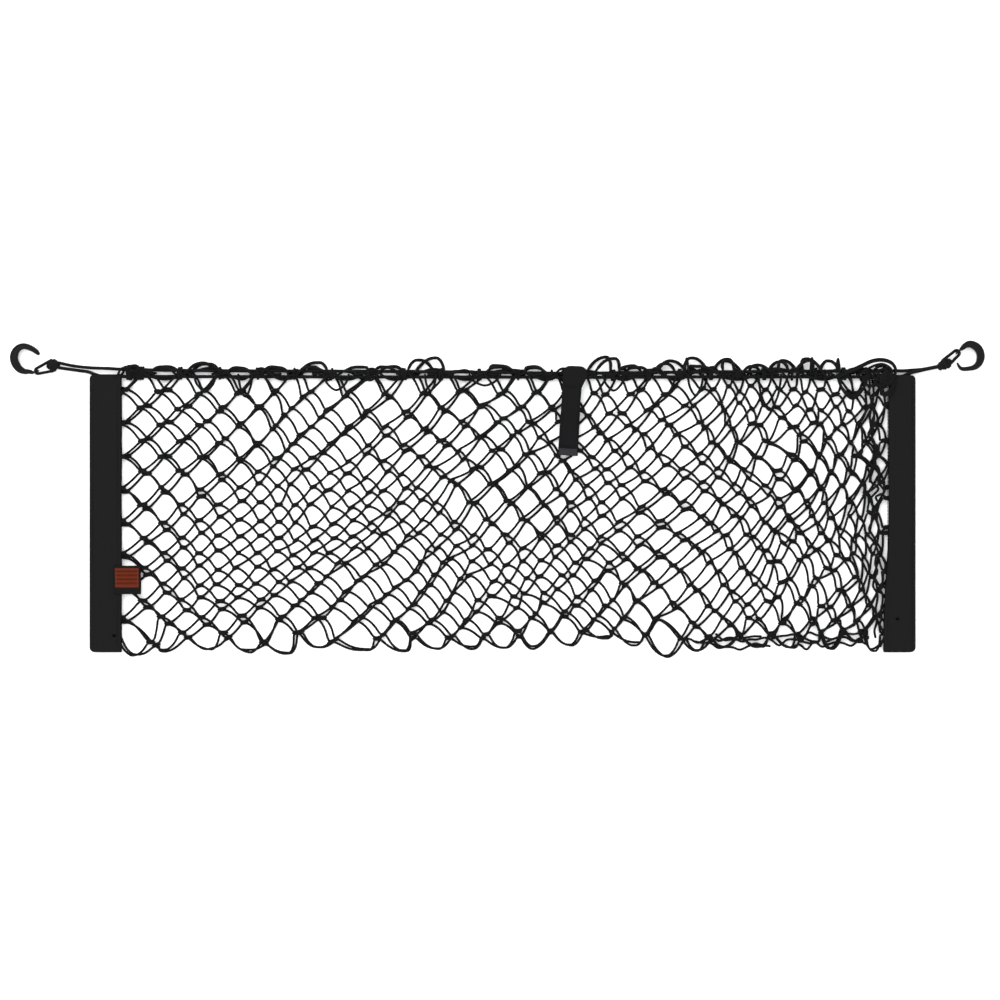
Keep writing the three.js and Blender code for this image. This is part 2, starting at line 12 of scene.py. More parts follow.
import bpy
import numpy as np
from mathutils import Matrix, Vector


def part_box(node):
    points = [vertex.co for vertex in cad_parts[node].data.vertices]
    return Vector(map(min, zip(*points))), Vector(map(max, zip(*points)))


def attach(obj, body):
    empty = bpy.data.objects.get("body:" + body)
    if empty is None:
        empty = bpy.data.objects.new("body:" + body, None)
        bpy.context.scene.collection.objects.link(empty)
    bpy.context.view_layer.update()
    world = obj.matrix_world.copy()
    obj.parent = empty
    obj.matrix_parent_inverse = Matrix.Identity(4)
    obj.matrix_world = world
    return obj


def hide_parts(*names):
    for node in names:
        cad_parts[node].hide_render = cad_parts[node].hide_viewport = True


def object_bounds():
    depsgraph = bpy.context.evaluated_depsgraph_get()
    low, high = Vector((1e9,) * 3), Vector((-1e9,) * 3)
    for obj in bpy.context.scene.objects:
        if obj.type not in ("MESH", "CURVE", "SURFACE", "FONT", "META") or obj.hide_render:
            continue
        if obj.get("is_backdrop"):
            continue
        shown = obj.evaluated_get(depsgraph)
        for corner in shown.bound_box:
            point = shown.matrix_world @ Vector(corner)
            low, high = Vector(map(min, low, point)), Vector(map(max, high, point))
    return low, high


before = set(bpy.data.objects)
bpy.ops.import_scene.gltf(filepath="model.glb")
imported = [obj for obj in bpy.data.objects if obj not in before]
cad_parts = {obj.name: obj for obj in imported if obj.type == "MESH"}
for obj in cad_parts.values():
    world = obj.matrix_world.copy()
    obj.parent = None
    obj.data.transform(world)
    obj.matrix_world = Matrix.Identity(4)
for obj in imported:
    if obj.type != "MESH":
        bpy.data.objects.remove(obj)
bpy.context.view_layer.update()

MM = 0.001  # sizes below are in millimetres, as a maker would give them; Blender's are in metres
print("CAD nodes:", ", ".join(sorted(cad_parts)))

# %% [markdown]
# ## The camera
# The net was laid on a table and is seen from straight above. A long lens far away keeps the two
# ends from leaning outwards, and 1080 mm of table fits across the square frame.

# %% Camera
VIEW_WIDTH = 1080 * MM
VIEW_CENTRE = (2.9 * MM, -0.9 * MM)
CAMERA_HEIGHT = 3.0
SENSOR_WIDTH = 36  # mm

camera_data = bpy.data.cameras.new("camera_above")
camera_data.sensor_width = SENSOR_WIDTH
camera_data.lens = SENSOR_WIDTH * CAMERA_HEIGHT / VIEW_WIDTH
camera_above = bpy.data.objects.new("camera_above", camera_data)
camera_above.location = (*VIEW_CENTRE, CAMERA_HEIGHT)
bpy.context.scene.collection.objects.link(camera_above)
bpy.context.scene.camera = camera_above
print("lens:", round(camera_data.lens, 1), "mm")

# %% [markdown]
# ## Helpers for lines and meshes
# Nearly everything here is either a thread, cord or rod, which is a tube along a line, or a strip
# of cloth, which is a thin slab between two grids of points. Both are worked out with numpy and
# handed to Blender as points and faces, and each gets a UV map in millimetres. The materials read
# that map, so a braid or a weave has its real size wherever it runs.

# %% Lines
def unit(vectors):
    """Vectors, each cut to a length of 1."""
    return vectors / np.maximum(np.linalg.norm(vectors, axis=-1, keepdims=True), 1e-9)


def distances(line):
    """How far along a line each of its points lies."""
    return np.concatenate([[0], np.cumsum(np.linalg.norm(np.diff(line, axis=0), axis=1))])


def full_turn(count):
    """Evenly spaced angles round a circle."""
    return 2 * np.pi * np.arange(count) / count


def turned(points, degrees):
    """Points turned about Z."""
    points = np.array(points, float)
    c, s = math.cos(math.radians(degrees)), math.sin(math.radians(degrees))
    points[..., :2] = points[..., :2] @ [[c, s], [-s, c]]
    return points


def read(table, place):
    """The value at a place, between the rows [place, value] of a table."""
    return np.interp(place, *np.transpose(table)[:2])


def ease(value, low, high):
    """0 below low, 1 above high, and a smooth ramp between."""
    t = np.clip((value - low) / (high - low), 0, 1)
    return t * t * (3 - 2 * t)


def smooth_line(points, spacing):
    """A smooth line through the points, with a point about every `spacing` mm."""
    points = np.asarray(points, float)
    padded = np.concatenate([[2 * points[0] - points[1]], points, [2 * points[-1] - points[-2]]])
    line = []
    for a, b, c, d in zip(padded, padded[1:], padded[2:], padded[3:]):
        steps = max(1, round(np.linalg.norm(c - b) / spacing))
        t = np.arange(steps)[:, None] / steps
        curve = 2 * b + (c - a) * t + (2 * a - 5 * b + 4 * c - d) * t**2 + (3 * b - a - 3 * c + d) * t**3
        line.append(curve / 2)
    return np.concatenate([*line, points[-1:]])


# %% Tubes and slabs
def skin(rings, around, closed=False):
    """Points, faces and UVs of a skin over rings of points. Around is its girth in the UV map."""
    count, sides = rings.shape[:2]
    i, k = np.divmod(np.arange((count if closed else count - 1) * sides), sides)
    j, m = (i + 1) % count, (k + 1) % sides
    faces = np.stack([i * sides + k, j * sides + k, j * sides + m, i * sides + m], 1).tolist()
    middle = rings.mean(1)
    along = distances(np.concatenate([middle, middle[:1]]))
    left, right = k / sides * around, (k + 1) / sides * around
    uvs = np.stack([along[i], left, along[i + 1], left, along[i + 1], right, along[i], right], 1)
    uvs = uvs.reshape(-1, 2)
    if not closed:
        cap = list(range(sides))
        faces += [cap, [(count - 1) * sides + corner for corner in cap[::-1]]]
        uvs = np.concatenate([uvs, np.zeros((2 * sides, 2))])
    return rings.reshape(-1, 3), faces, uvs


# A round end is two more rings: how far out each lies and how big it is, as shares of the radius.
END_REACH, END_SHRINK = np.array([[1.0], [0.66]]), np.array([0.0, 0.75])
LEAST_RADIUS = 0.02


def tube(path, radius, sides, closed=False, flatten=1.0, aside=None):
    """A tube along a line, with round ends. Aside is its sideways direction, if it isn't level."""
    path = np.asarray(path, float)
    radius = np.broadcast_to(np.asarray(radius, float), len(path))
    if not closed:
        lead = radius[0] * unit(path[0] - path[1])
        trail = radius[-1] * unit(path[-1] - path[-2])
        path = np.concatenate([path[0] + END_REACH * lead, path, path[-1] + END_REACH[::-1] * trail])
        radius = np.concatenate([radius[0] * END_SHRINK, radius, radius[-1] * END_SHRINK[::-1]])
        radius = np.maximum(radius, LEAST_RADIUS)
    ahead = np.roll(path, -1, 0) if closed else np.concatenate([path[1:], path[-1:]])
    behind = np.roll(path, 1, 0) if closed else np.concatenate([path[:1], path[:-1]])
    along = unit(ahead - behind)
    side = unit(np.cross(along, [0.0, 0.0, 1.0])) if aside is None else np.full(path.shape, aside)
    rise = np.cross(side, along)
    angle = full_turn(sides)[:, None]
    ring = side[:, None] * np.cos(angle) + flatten * rise[:, None] * np.sin(angle)
    return skin(path[:, None] + radius[:, None, None] * ring, 2 * np.pi * np.mean(radius), closed)


def slab(top, bottom):
    """A closed slab between two grids of points, with rows along the first axis."""
    rows, columns = top.shape[:2]
    along, across = distances(top[:, columns // 2]), distances(top[rows // 2])
    faces, uvs = [], []

    def add(corners):
        faces.append([(grid * rows + r) * columns + c for r, c, grid in corners])
        uvs.extend((across[c], along[r]) for r, c, _ in corners)

    for r in range(rows - 1):
        for c in range(columns - 1):
            square = [(r, c), (r, c + 1), (r + 1, c + 1), (r + 1, c)]
            add([(*corner, 0) for corner in square])
            add([(*corner, 1) for corner in square[::-1]])
    rim = [(0, c) for c in range(columns)] + [(r, columns - 1) for r in range(1, rows)]
    rim += [(rows - 1, c) for c in range(columns - 2, -1, -1)] + [(r, 0) for r in range(rows - 2, 0, -1)]
    for this, after in zip(rim, rim[1:] + rim[:1]):
        add([(*after, 0), (*this, 0), (*this, 1), (*after, 1)])
    return np.concatenate([top.reshape(-1, 3), bottom.reshape(-1, 3)]), faces, uvs


def joined(shapes):
    """Several shapes as one."""
    points, faces, uvs = [], [], []
    total = 0
    for p, f, u in shapes:
        points.append(p)
        faces.extend([[v + total for v in face] for face in f])
        uvs.append(u)
        total += len(p)
    return np.concatenate(points), faces, np.concatenate(uvs)


# %% Pieces
def make_piece(name, shape, material_slot, *nodes):
    """A mesh object from points, faces, and UVs for each corner of each face.

    It rides on the part's only body and stands for its CAD nodes. Its material_slot is not used.
    """
    points, faces, uvs = shape
    mesh = bpy.data.meshes.new(name)
    mesh.from_pydata((points * MM).tolist(), [], faces)
    layer = mesh.uv_layers.new(name="along_the_piece")
    layer.data.foreach_set("uv", np.asarray(uvs, np.float32).ravel())
    mesh.polygons.foreach_set("use_smooth", [True] * len(mesh.polygons))
    mesh.validate()
    piece = bpy.data.objects.new(name, mesh)
    bpy.context.scene.collection.objects.link(piece)
    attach(piece, "root")
    if nodes:
        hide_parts(*nodes)
    print(name, "has", len(mesh.polygons), "faces")
    return piece


def box_in_mm(node):
    """A CAD node's lowest and highest corners."""
    return [np.array(corner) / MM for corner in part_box(node)]


# %% [markdown]
# ## The elastic cords
# Each cord is a bundle of rubber strands inside a braided polyester cover, 3.6 mm thick. Its route
# is the same list of points that the CAD model has. The back cord stays above the band's top edge,
# and the front one slips into the open ends of both bands. Two long pulls meet at each end knot.

# %% Routes of the cords
CORD_DIAMETER = 3.6

# Points of their middle lines: [x, y, z].
BACK_CORD_ROUTE = [
    [-472.3, 147.0, 4.8], [-462, 144.6, 4.8], [-450, 142.7, 4.6], [-438, 141.6, 4.4],
    [-420, 141.0, 4.3], [-400, 140.0, 4.3], [-340, 138.9, 4.3], [-250, 138.3, 4.3],
    [-150, 137.9, 4.3], [-50, 137.3, 4.3], [30, 136.3, 4.3], [81, 135.6, 4.3], [130, 136.2, 4.3],
    [220, 137.2, 4.3], [320, 137.9, 4.3], [400, 138.4, 4.3], [420, 138.5, 4.1], [430, 138.5, 3.4],
    [438, 138.5, 2.6], [447, 139.2, 2.1], [458, 140.1, 2.2], [466, 141.5, 2.3], [475.6, 143.4, 2.8],
]
FRONT_CORD_ROUTE = [
    [-471.9, 141.6, 4.8], [-462, 140.2, 4.8], [-450, 138.5, 4.6], [-441.5, 137.4, 4.4],
    [-434.5, 134.8, 4.3], [-427, 132.7, 4.3], [-415, 132.4, 4.3], [-400, 132.4, 4.3],
    [-300, 132.2, 4.3], [-150, 131.9, 4.3], [30, 131.6, 4.3], [81, 131.4, 4.3], [150, 131.6, 4.3],
    [250, 131.9, 4.3], [350, 131.9, 4.3], [415, 131.8, 4.3], [428, 131.8, 4.3], [436, 132.5, 4.3],
    [442, 134.8, 4.2], [447, 136.5, 4.9], [452, 137.6, 6.0], [458, 139.0, 6.2], [466, 140.7, 6.3],
    [475.9, 142.8, 6.8],
]


# %% Lay the cords
def lay_cord(name, node, line, diameter):
    """A round elastic cord."""
    cord = make_piece(name, tube(line, diameter / 2, 12), "elastic_cord", node)
    return cord


ROUTE_STEP = 2.5
back_line, front_line = (smooth_line(route, ROUTE_STEP) for route in (BACK_CORD_ROUTE, FRONT_CORD_ROUTE))
cord_back = lay_cord("elastic_cord_back", "cord_back", back_line, CORD_DIAMETER)
cord_front = lay_cord("elastic_cord_front", "cord_front", front_line, CORD_DIAMETER)

# %% [markdown]
# ## Planning the netting
# Knotless netting is knitted by machine: each thread zigzags across the whole width, and where it
# meets the thread above or below, the two run side by side for a few millimetres. That short double
# stretch is the joint, and the four threads between four joints are one mesh.
# A simulation could lay the net down, but it would lie in some pleasing way of its own. So the
# joints are planned instead: an even lattice first, then a few listed slides that crowd it to the
# right and pull it about, one set for the front layer and one for the back layer. Where the two
# sets agree the layers hide each other, and where they differ the fine criss-cross appears.

# %% An even lattice
STRANDS = 18  # zigzag threads in one layer, from the rim to the fold
THREAD = 2.6  # diameter of the thread

# Across: [column of joints, its x]. Columns crowd at the bands and towards the right.
COLUMN_PLACES = [
    [0, -411], [1, -404], [2, -383], [12, -179], [22, 16], [28, 116],
    [34, 221], [40, 321], [44, 377], [48, 418],
]
HALF_MESHES = COLUMN_PLACES[-1][0]
# Up: [row of joints, its y]. Row 0 is the rim and row 1 lies on the cords.
ROW_PLACES = [[0, 143.5], [1, 134.5], [2, 116], [3, 98.3], [17, -145.1], [18, -160.5]]

ROW, COLUMN = np.meshgrid(np.arange(STRANDS + 1), np.arange(HALF_MESHES + 1), indexing="ij")
print("joints in a layer:", ROW.size // 2)

# %% Listed slides
# Each table holds [right, up] slides in mm. Its columns run from band to band and its rows from the
# cords to the fold. The drift is how much further the back layer slides than the front one.
SLIDE = np.array([
    [[0, 0], [2, 0], [3, -2], [0, 0], [4, 1], [10, 0], [6, 0], [2, 0], [0, 0]],
    [[0, 0], [0, 0], [0, 0], [-1, -2], [4, 4], [2, 3], [12, 3], [8, 2], [0, 0]],
    [[0, 0], [1, 0], [1, -2], [0, 0], [-7, 6], [-4, 4], [15, 4], [10, 3], [0, 0]],
    [[0, 0], [2, 0], [5, 0], [8, 0], [-2, 5], [2, 2], [8, 3], [6, 3], [0, 0]],
    [[0, 0], [4, 0], [9, 0], [16, 0], [8, 0], [8, 2], [8, -2], [4, -2], [0, 0]],
], float)
BACK_DRIFT = np.array([
    [[5, 2], [5, 2], [-3, -2], [8, 0], [8, 0], [8, 4], [12, 0], [10, 5], [4, 3]],
    [[5, 2], [7, 3], [-10, -9], [3, -6], [5, 3], [9, -12], [6, -6], [4, -3], [3, 5]],
    [[4, -3], [2, -14], [2, -17], [2, -15], [4, -3], [3, -14], [6, -8], [4, -4], [2, 6]],
    [[4, -4], [3, -14], [-11, -10], [-12, -10], [0, -16], [-5, -10], [7, -8], [12, 3], [3, -5]],
    [[4, -3], [6, -4], [-4, 3], [0, 0], [0, 0], [0, 0], [0, 0], [0, 0], [0, 0]],
], float)


def cubic_weights(place, count):
    """Where a place falls in a row of evenly spaced values, and what each of four weighs."""
    at = np.clip(place * (count - 1), 0, count - 1 - 1e-9)
    first = np.floor(at).astype(int)
    t = at - first
    weights = np.stack([
        -0.5 * t + t**2 - 0.5 * t**3,
        1 - 2.5 * t**2 + 1.5 * t**3,
        0.5 * t + 2 * t**2 - 1.5 * t**3,
        -0.5 * t**2 + 0.5 * t**3,
    ], -1)
    indices = np.clip(first[..., None] + np.arange(-1, 3), 0, count - 1)
    return indices, weights


def slide_at(table, across, down):
    """A smooth slide between the table's values. Places run from 0 to 1."""
    rows, row_weights = cubic_weights(down, table.shape[0])
    columns, column_weights = cubic_weights(across, table.shape[1])
    values = table[rows[..., :, None], columns[..., None, :]]
    return np.einsum("...i,...j,...ijk->...k", row_weights, column_weights, values)


# %% Stray joints
# How far joints stray from the plan, in mm, by [column, distance]: calm on the left.
STRAY = [
    [0, 0.3], [2, 0.9], [8, 1.6], [16, 2.4], [30, 3.1], [36, 3.4], [40, 4.2], [46, 4.2], [48, 3.4],
]
STRAY_GRID = (8, 17, 2)  # rows and columns of a table of strays
STRAY_BY_LAYER = 0.8  # share that one layer does without the other
STRAY_ALONE = 0.4  # share that one joint does without its neighbours
# Single joints that hang or stretch: [row, column, right, up].
PULLS = [[17, 2, 9, -9], [17, 8, 3, -8], [17, 12, -6, -8], [17, 32, 4, -3]]
both_layers = np.random.default_rng(5).normal(0, 1, STRAY_GRID)


def plan_joints(slide, seed):
    """The joints of one layer, in mm: an array by row and column of [x, y]."""
    wander = np.random.default_rng(seed)
    place = np.stack([read(COLUMN_PLACES, COLUMN), read(ROW_PLACES, ROW)], -1)
    # The slides are spaced evenly over the cloth, not by columns.
    across = (place[..., 0] - place[0, 0, 0]) / (place[0, -1, 0] - place[0, 0, 0])
    down = ROW / STRANDS
    place += slide_at(slide, across, down)
    stray = slide_at(both_layers, across, down)
    stray += STRAY_BY_LAYER * slide_at(wander.normal(0, 1, STRAY_GRID), across, down)
    stray += STRAY_ALONE * wander.normal(0, 1, place.shape)
    place += read(STRAY, COLUMN)[..., None] * stray
    for row, column, right, up in PULLS:
        place[row, column] += [right, up]
    return place


# %% From joints to threads
EVEN_MESH = 39  # width of a mesh that nothing squeezes
JOINT_RUN = [[0, 5.6], [34, 6.2], [39, 8.6], [48, 8.6]]  # [column, length of its joints in mm]
LOOSE_RUN = 7.0  # length of the flat part of a loop at the rim or the fold
# [column, how its joints lean in degrees], and how far a joint strays from that.
LEAN = [
    [0, 2], [7, 6], [13, 24], [19, 24], [22, 8], [26, 4], [29, 17], [32, 17], [35, 2], [48, 0],
]
UNREST = [[0, 5], [10, 8], [24, 13], [36, 14], [44, 20], [48, 40]]
LOOSE_UNREST = 6


def plan_runs(joints, seed):
    """Half of the stretch where two threads run together at each joint, as [right, up] in mm."""
    wander = np.random.default_rng(seed)
    alone = (ROW == 0) | (ROW == STRANDS)
    x = joints[..., 0]
    room = x[:, np.minimum(COLUMN[0] + 1, HALF_MESHES)] - x[:, np.maximum(COLUMN[0] - 1, 0)]
    half = np.where(alone, LOOSE_RUN, read(JOINT_RUN, COLUMN)) / 2
    half *= np.clip(room / EVEN_MESH, 0.42, 1.2) * (1 + wander.normal(0, 0.15, half.shape))
    lean = np.where(alone, 0, read(LEAN, COLUMN))
    unrest = np.where(alone, LOOSE_UNREST, read(UNREST, COLUMN))
    tilt = np.radians(lean + unrest * wander.normal(0, 1, half.shape))
    return half[..., None] * np.stack([np.cos(tilt), np.sin(tilt)], -1)


POINTS_PER_BAR = 6
BAR_BEND = 0.38  # how far along a bar its two ends keep their own directions
# A bar's two directions, in degrees from the straight line: of a rising bar, then of a falling one.
BULGE, RIM_BULGE, FOLD_BULGE = [[-6, 6], [20, -12]], [[8, -30], [30, -8]], [[-22, 14], [-14, 22]]


def bar_curve(start, end, early, late):
    """A bar's middle line between two joints, as a Bezier curve with two directions."""
    first = start + BAR_BEND * turned(end - start, early)
    second = end - BAR_BEND * turned(end - start, late)
    t = np.linspace(0, 1, POINTS_PER_BAR + 2)[1:-1, None]
    return (1 - t) ** 3 * start + 3 * (1 - t) ** 2 * t * first + 3 * (1 - t) * t**2 * second + t**3 * end


RIM_APART = 1.9  # how far the rim's thread and the next one pass from their joint's centre
THREADS_APART = 0.45 * THREAD
INTO_BAND = 14  # how far left of its first joint a thread goes straight into the left band


def thread_path(joints, runs, strand):
    """One zigzag thread's middle line, as rows of [x, y, column].

    Points between two columns count as in between. Falling bars bulge up and right, like scales.
    """
    path = []
    before = None
    joints = joints.copy()
    if 0 < strand < STRANDS - 1:
        joints[strand + 1 - strand % 2, 0] = joints[strand + strand % 2, 1] + [-INTO_BAND, 0]
    bulge = {0: RIM_BULGE, STRANDS - 1: FOLD_BULGE}.get(strand, BULGE)
    for column in range(HALF_MESHES + 1):
        high = (column + strand) % 2 == 1
        row = strand if high else strand + 1
        centre = joints[row, column].copy()
        if row not in (0, STRANDS):
            apart = RIM_APART if row == 1 else -THREADS_APART
            centre[1] += apart if high else -apart
        run = runs[row, column]
        if before is not None:
            bar = bar_curve(before, centre - run, *bulge[0 if high else 1])
            path.extend(np.column_stack([bar, column - 1 + np.linspace(0.15, 0.85, len(bar))]))
        for place, phase in zip((centre - run, centre, centre + run), (-0.1, 0, 0.1)):
            path.append([*place, column + phase])
        before = centre + run
    path = np.array(path)
    path[1:-1, :2] = (path[:-2, :2] + 4 * path[1:-1, :2] + path[2:, :2]) / 6
    return path

# %% [markdown]
# ## Knitting the two layers
# Each thread is now a tube along its planned line. The back layer lies on the table and the front
# layer on the back one. Towards the bands both rise a little to get between the band's leaves. The
# rim loops are threaded on the cords: one leg of each loop passes over both cords and the other
# leg under them, which is what holds the net up.

# %% Heights of the two layers
BACK_LEVEL, FRONT_LEVEL = 1.5, 3.9
OVER_CORDS, UNDER_CORDS = 7.5, 1.45
CLIMB = (112, 126)  # y between which a thread climbs over or under the cords
FOLD = (-166, -150)  # y between which the layers come together in the fold
HELD = (-406, 418)  # x where the bands hold the net
BETWEEN_LEAVES = 1.5  # how much both layers rise towards a band
RISE_REACH = 45  # and how far from the band that starts


def thread_height(path, front):
    """Z of each point of a thread, in mm."""
    x, y, column = path.T
    from_band = np.minimum(x - HELD[0], HELD[1] - x)
    rise = BETWEEN_LEAVES * (1 - ease(from_band, 0, RISE_REACH))
    swell = 0.5 * np.sin(x / 61 + 1.3) * np.sin(y / 47) if front else 0
    level = (FRONT_LEVEL if front else BACK_LEVEL) + rise + swell
    fold = (1 - ease(y, *FOLD)) * (FRONT_LEVEL - BACK_LEVEL) / 2
    level = level - fold if front else level + fold
    # On the cords every second joint of a layer lies over them and the others lie under.
    over = 0.5 + 0.5 * np.cos(math.pi * column / 2 + (0 if front else math.pi))
    threaded = UNDER_CORDS + (OVER_CORDS - UNDER_CORDS) * ease(over, 0.1, 0.9)
    near_cords = ease(y, *CLIMB)
    return near_cords * threaded + (1 - near_cords) * level


# %% Knit a layer
TWIST_RADIUS = [[2, 2.6], [6, 2.3], [17, 2.0]]  # [row, thickest radius of its joints in mm]
TWIST_SHAPE = np.array([[-1.2, -0.7, 0, 0.7, 1.2], [0.5, 0.85, 1, 0.85, 0.5]])  # places, and radii
TWIST_FLATNESS = 0.45
BAND_HEIGHT = 7.7  # over both leaves of a band
IN_BAND = (-156, 126)  # lowest and highest y where a thread goes into a band
IN_BAND_STEPS = (7, 15)  # how far beyond its last joint its end has points
IN_BAND_APART = 0.9  # how far from the band's middle each layer lies in there
ABOVE_CORDS = (139, 142)  # y between which a rim loop gets thicker, where two threads lie together
RIM_DOUBLING = 0.4


def twist(joint, run, row, column, front):
    """The tight lump at a joint, where two threads twist round each other."""
    place = joint + TWIST_SHAPE[0][:, None] * run
    height = thread_height(np.column_stack([place, np.full(len(place), column)]), front)
    swell = read(TWIST_RADIUS, row) * TWIST_SHAPE[1]
    swell *= 1.15 - 0.15 * ease(column, 4, 14)  # tightest near the left band
    swell *= 1 - 0.3 * ease(column, 31, 38)  # looser where the net is bunched
    return tube(np.column_stack([place, height]), swell, 6, flatten=TWIST_FLATNESS)


def knit_layer(name, joints, seed, front):
    """One layer of netting as a single mesh of zigzag threads."""
    runs = plan_runs(joints, seed)
    threads = []
    for strand in range(STRANDS):
        path = thread_path(joints, runs, strand)
        line = np.column_stack([path[:, :2], thread_height(path, front)])
        level = BAND_HEIGHT / 2 + (IN_BAND_APART if front else -IN_BAND_APART)
        ends = []
        for (x, y, _), inwards in ((line[0], -1), (line[-1], 1)):
            y = np.clip(y, IN_BAND[0], IN_BAND[1] - 2 * (strand == 1))
            ends.append([[x + inwards * step, y, level] for step in IN_BAND_STEPS])
        line = np.concatenate([ends[0][::-1], line, ends[1]])
        doubled = 1 + RIM_DOUBLING * ease(line[:, 1], *ABOVE_CORDS)
        threads.append(tube(line, THREAD / 2 * doubled, 6))
    for row in range(2, STRANDS):
        for column in range(1 + row % 2, HALF_MESHES, 2):
            threads.append(twist(joints[row, column], runs[row, column], row, column, front))
    return make_piece(name, joined(threads), "netting", "net")


# How far each rim loop slides from the even rim, in mm: [right, up], from band to band.
RIM_FRONT = [
    [2, 0], [0, -2], [3, 3], [0, -2], [2, 0], [2, -2], [-13, -1], [0, -1], [0, 5], [2, 0],
    [0, 1], [0, 0], [0, -1], [10, 4], [0, 0], [4, 4], [-2, 6], [7, 4], [0, 1], [0, 4],
    [3, 5], [3, 6], [0, -5], [0, -4],
]
RIM_BACK = [
    [5, -1], [-3, -3], [4, 0], [-2, -3], [4, -1], [-4, -3], [10, 4], [0, -2], [8, 5], [0, -2],
    [-8, 1], [-6, 0], [0, -3], [10, 3], [0, -4], [4, 3], [-12, -2], [-6, 3], [0, -5], [0, -4],
    [-4, 3], [0, -5], [0, -5], [4, -4],
]
# The same for the loops along the fold. Both layers share them, but for a little scatter.
FOLD_LOOPS = [
    [12, -8], [2, -3], [6, -3], [6, -4], [8, -4], [-2, -3], [8, -2], [6, -2], [2, 0], [0, 1],
    [0, 0], [0, 1], [2, 0], [2, 3], [0, 2], [2, -2], [4, -4], [4, -1], [0, 0], [0, 2],
    [2, 3], [4, -8], [0, 0], [-3, -5],
]
FOLD_SCATTER = [3, 1.5]

joints_front = plan_joints(SLIDE, 3)
joints_back = plan_joints(SLIDE + BACK_DRIFT, 8)
joints_front[0, 1::2] += RIM_FRONT
joints_back[0, 1::2] += RIM_BACK
joints_front[-1, 1::2] += FOLD_LOOPS
scatter = np.random.default_rng(12).normal(0, 1, (HALF_MESHES + 1, 2)) * FOLD_SCATTER
joints_back[-1] = joints_front[-1] + scatter
net_front = knit_layer("net_front_layer", joints_front, 103, front=True)
net_back = knit_layer("net_back_layer", joints_back, 108, front=False)

# %% [markdown]
# ## Turns, snarls and the gathered side
# Where a rim mesh pulls on the cords its thread winds round both of them, so the cords carry a row
# of dark knots, with slack thread lying between them. Slack loops hang from the cords too. Near the
# right band the net is bunched: threads run up and down beside the band and along the fold, and a
# few slack loops have slipped over the band's top corner.

# %% Turns of thread round the cords
CORD_LEVEL = 4.3  # height of the cords' middle lines over the net
TURN_RISE = 3.0  # how high a turn goes over them
TURN_SPACING = 2.3
UNDER_STRAP = (66, 96)  # x between which turns wouldn't show
BY_LEFT_BAND = (-398, -393, -388)  # where pairs of turns sit close together
CORDS_SEEN = (-402, 398)
loose = np.random.default_rng(41)


def round_cords(x):
    """The middle between the cords at x, and how far from it a turn of thread passes, in mm."""
    upper, lower = read(BACK_CORD_ROUTE, x), read(FRONT_CORD_ROUTE, x)
    return (upper + lower) / 2, (upper - lower + CORD_DIAMETER + THREAD) / 2


def loose_thread(points, spacing=None, closed=False):
    """A thread along points, first smoothed if it has a spacing."""
    line = smooth_line(points, spacing) if spacing else points
    return tube(line, THREAD / 2, 6, closed)


def turns_at(x, count):
    """A few tight turns round both cords, side by side and a little askew."""
    around = full_turn(18)
    middle, reach = round_cords(x)
    parts = []
    for i in range(count):
        place = x + (i - (count - 1) / 2) * TURN_SPACING + loose.uniform(-0.7, 0.7) * np.cos(around)
        up = middle + loose.uniform(-0.4, 0.4) + (reach + loose.uniform(0, 0.4)) * np.cos(around)
        ring = np.column_stack([place, up, CORD_LEVEL + TURN_RISE * np.sin(around)])
        parts.append(loose_thread(ring, closed=True))
    return parts


def whipping(start, stop, pitch, seed, step=1.8, stretch=30.0):
    """A thread wound along both cords, closely in some stretches and hardly at all in others."""
    pick = np.random.default_rng(seed)
    x = np.arange(start, stop, step)
    stations = np.arange(start, stop + stretch, stretch)
    per_mm = np.interp(x, stations, 1 / pick.uniform(0.6 * pitch, 2.4 * pitch, len(stations)))
    angle = 2 * math.pi * step * np.cumsum(per_mm) + pick.uniform(0, 6)
    middle, reach = round_cords(x)
    up = middle + reach * np.cos(angle)
    return loose_thread(np.column_stack([x, up, CORD_LEVEL + TURN_RISE * np.sin(angle)]))


turns = []
for x in joints_front[1, 2:HALF_MESHES:2, 0]:
    if not UNDER_STRAP[0] <= x <= UNDER_STRAP[1]:
        turns += turns_at(x, loose.integers(1, 3))
for x in BY_LEFT_BAND:
    turns += turns_at(x, 2)
turns.append(whipping(*CORDS_SEEN, 56, 71))

# Slack thread lies in the groove between the cords, in short stretches: [from, to] in mm.
GROOVE_LEVEL = 6.2
GROOVE_LENGTHS, GROOVE_GAPS = (14, 34), (16, 38)
start = -398.0
while start < 385:
    x = np.arange(start, start + loose.uniform(*GROOVE_LENGTHS), 3.0)
    middle = round_cords(x)[0] + loose.normal(0, 0.35, len(x))
    turns.append(loose_thread(np.column_stack([x, middle, np.full(len(x), GROOVE_LEVEL)])))
    start = x[-1] + loose.uniform(*GROOVE_GAPS)


# %% Slack at the rim and under the cords
def wandering_loop(centre, size, lift, turns_of, seed):
    """A slack thread that loops round a centre. Size is half its reach across and up."""
    pick = np.random.default_rng(seed)
    angles = np.arange(6 * turns_of) * (2 * math.pi / 6) + pick.uniform(-0.3, 0.3, 6 * turns_of)
    reach = pick.uniform(0.45, 1.0, len(angles))
    return loose_thread(np.column_stack([
        centre[0] + size[0] * reach * np.cos(angles),
        centre[1] + size[1] * reach * np.sin(angles),
        lift + pick.uniform(0, 1.2, len(angles)),
    ]), 1.6)


HANGS_FROM = [134, 8.2]  # y and z, on the cords


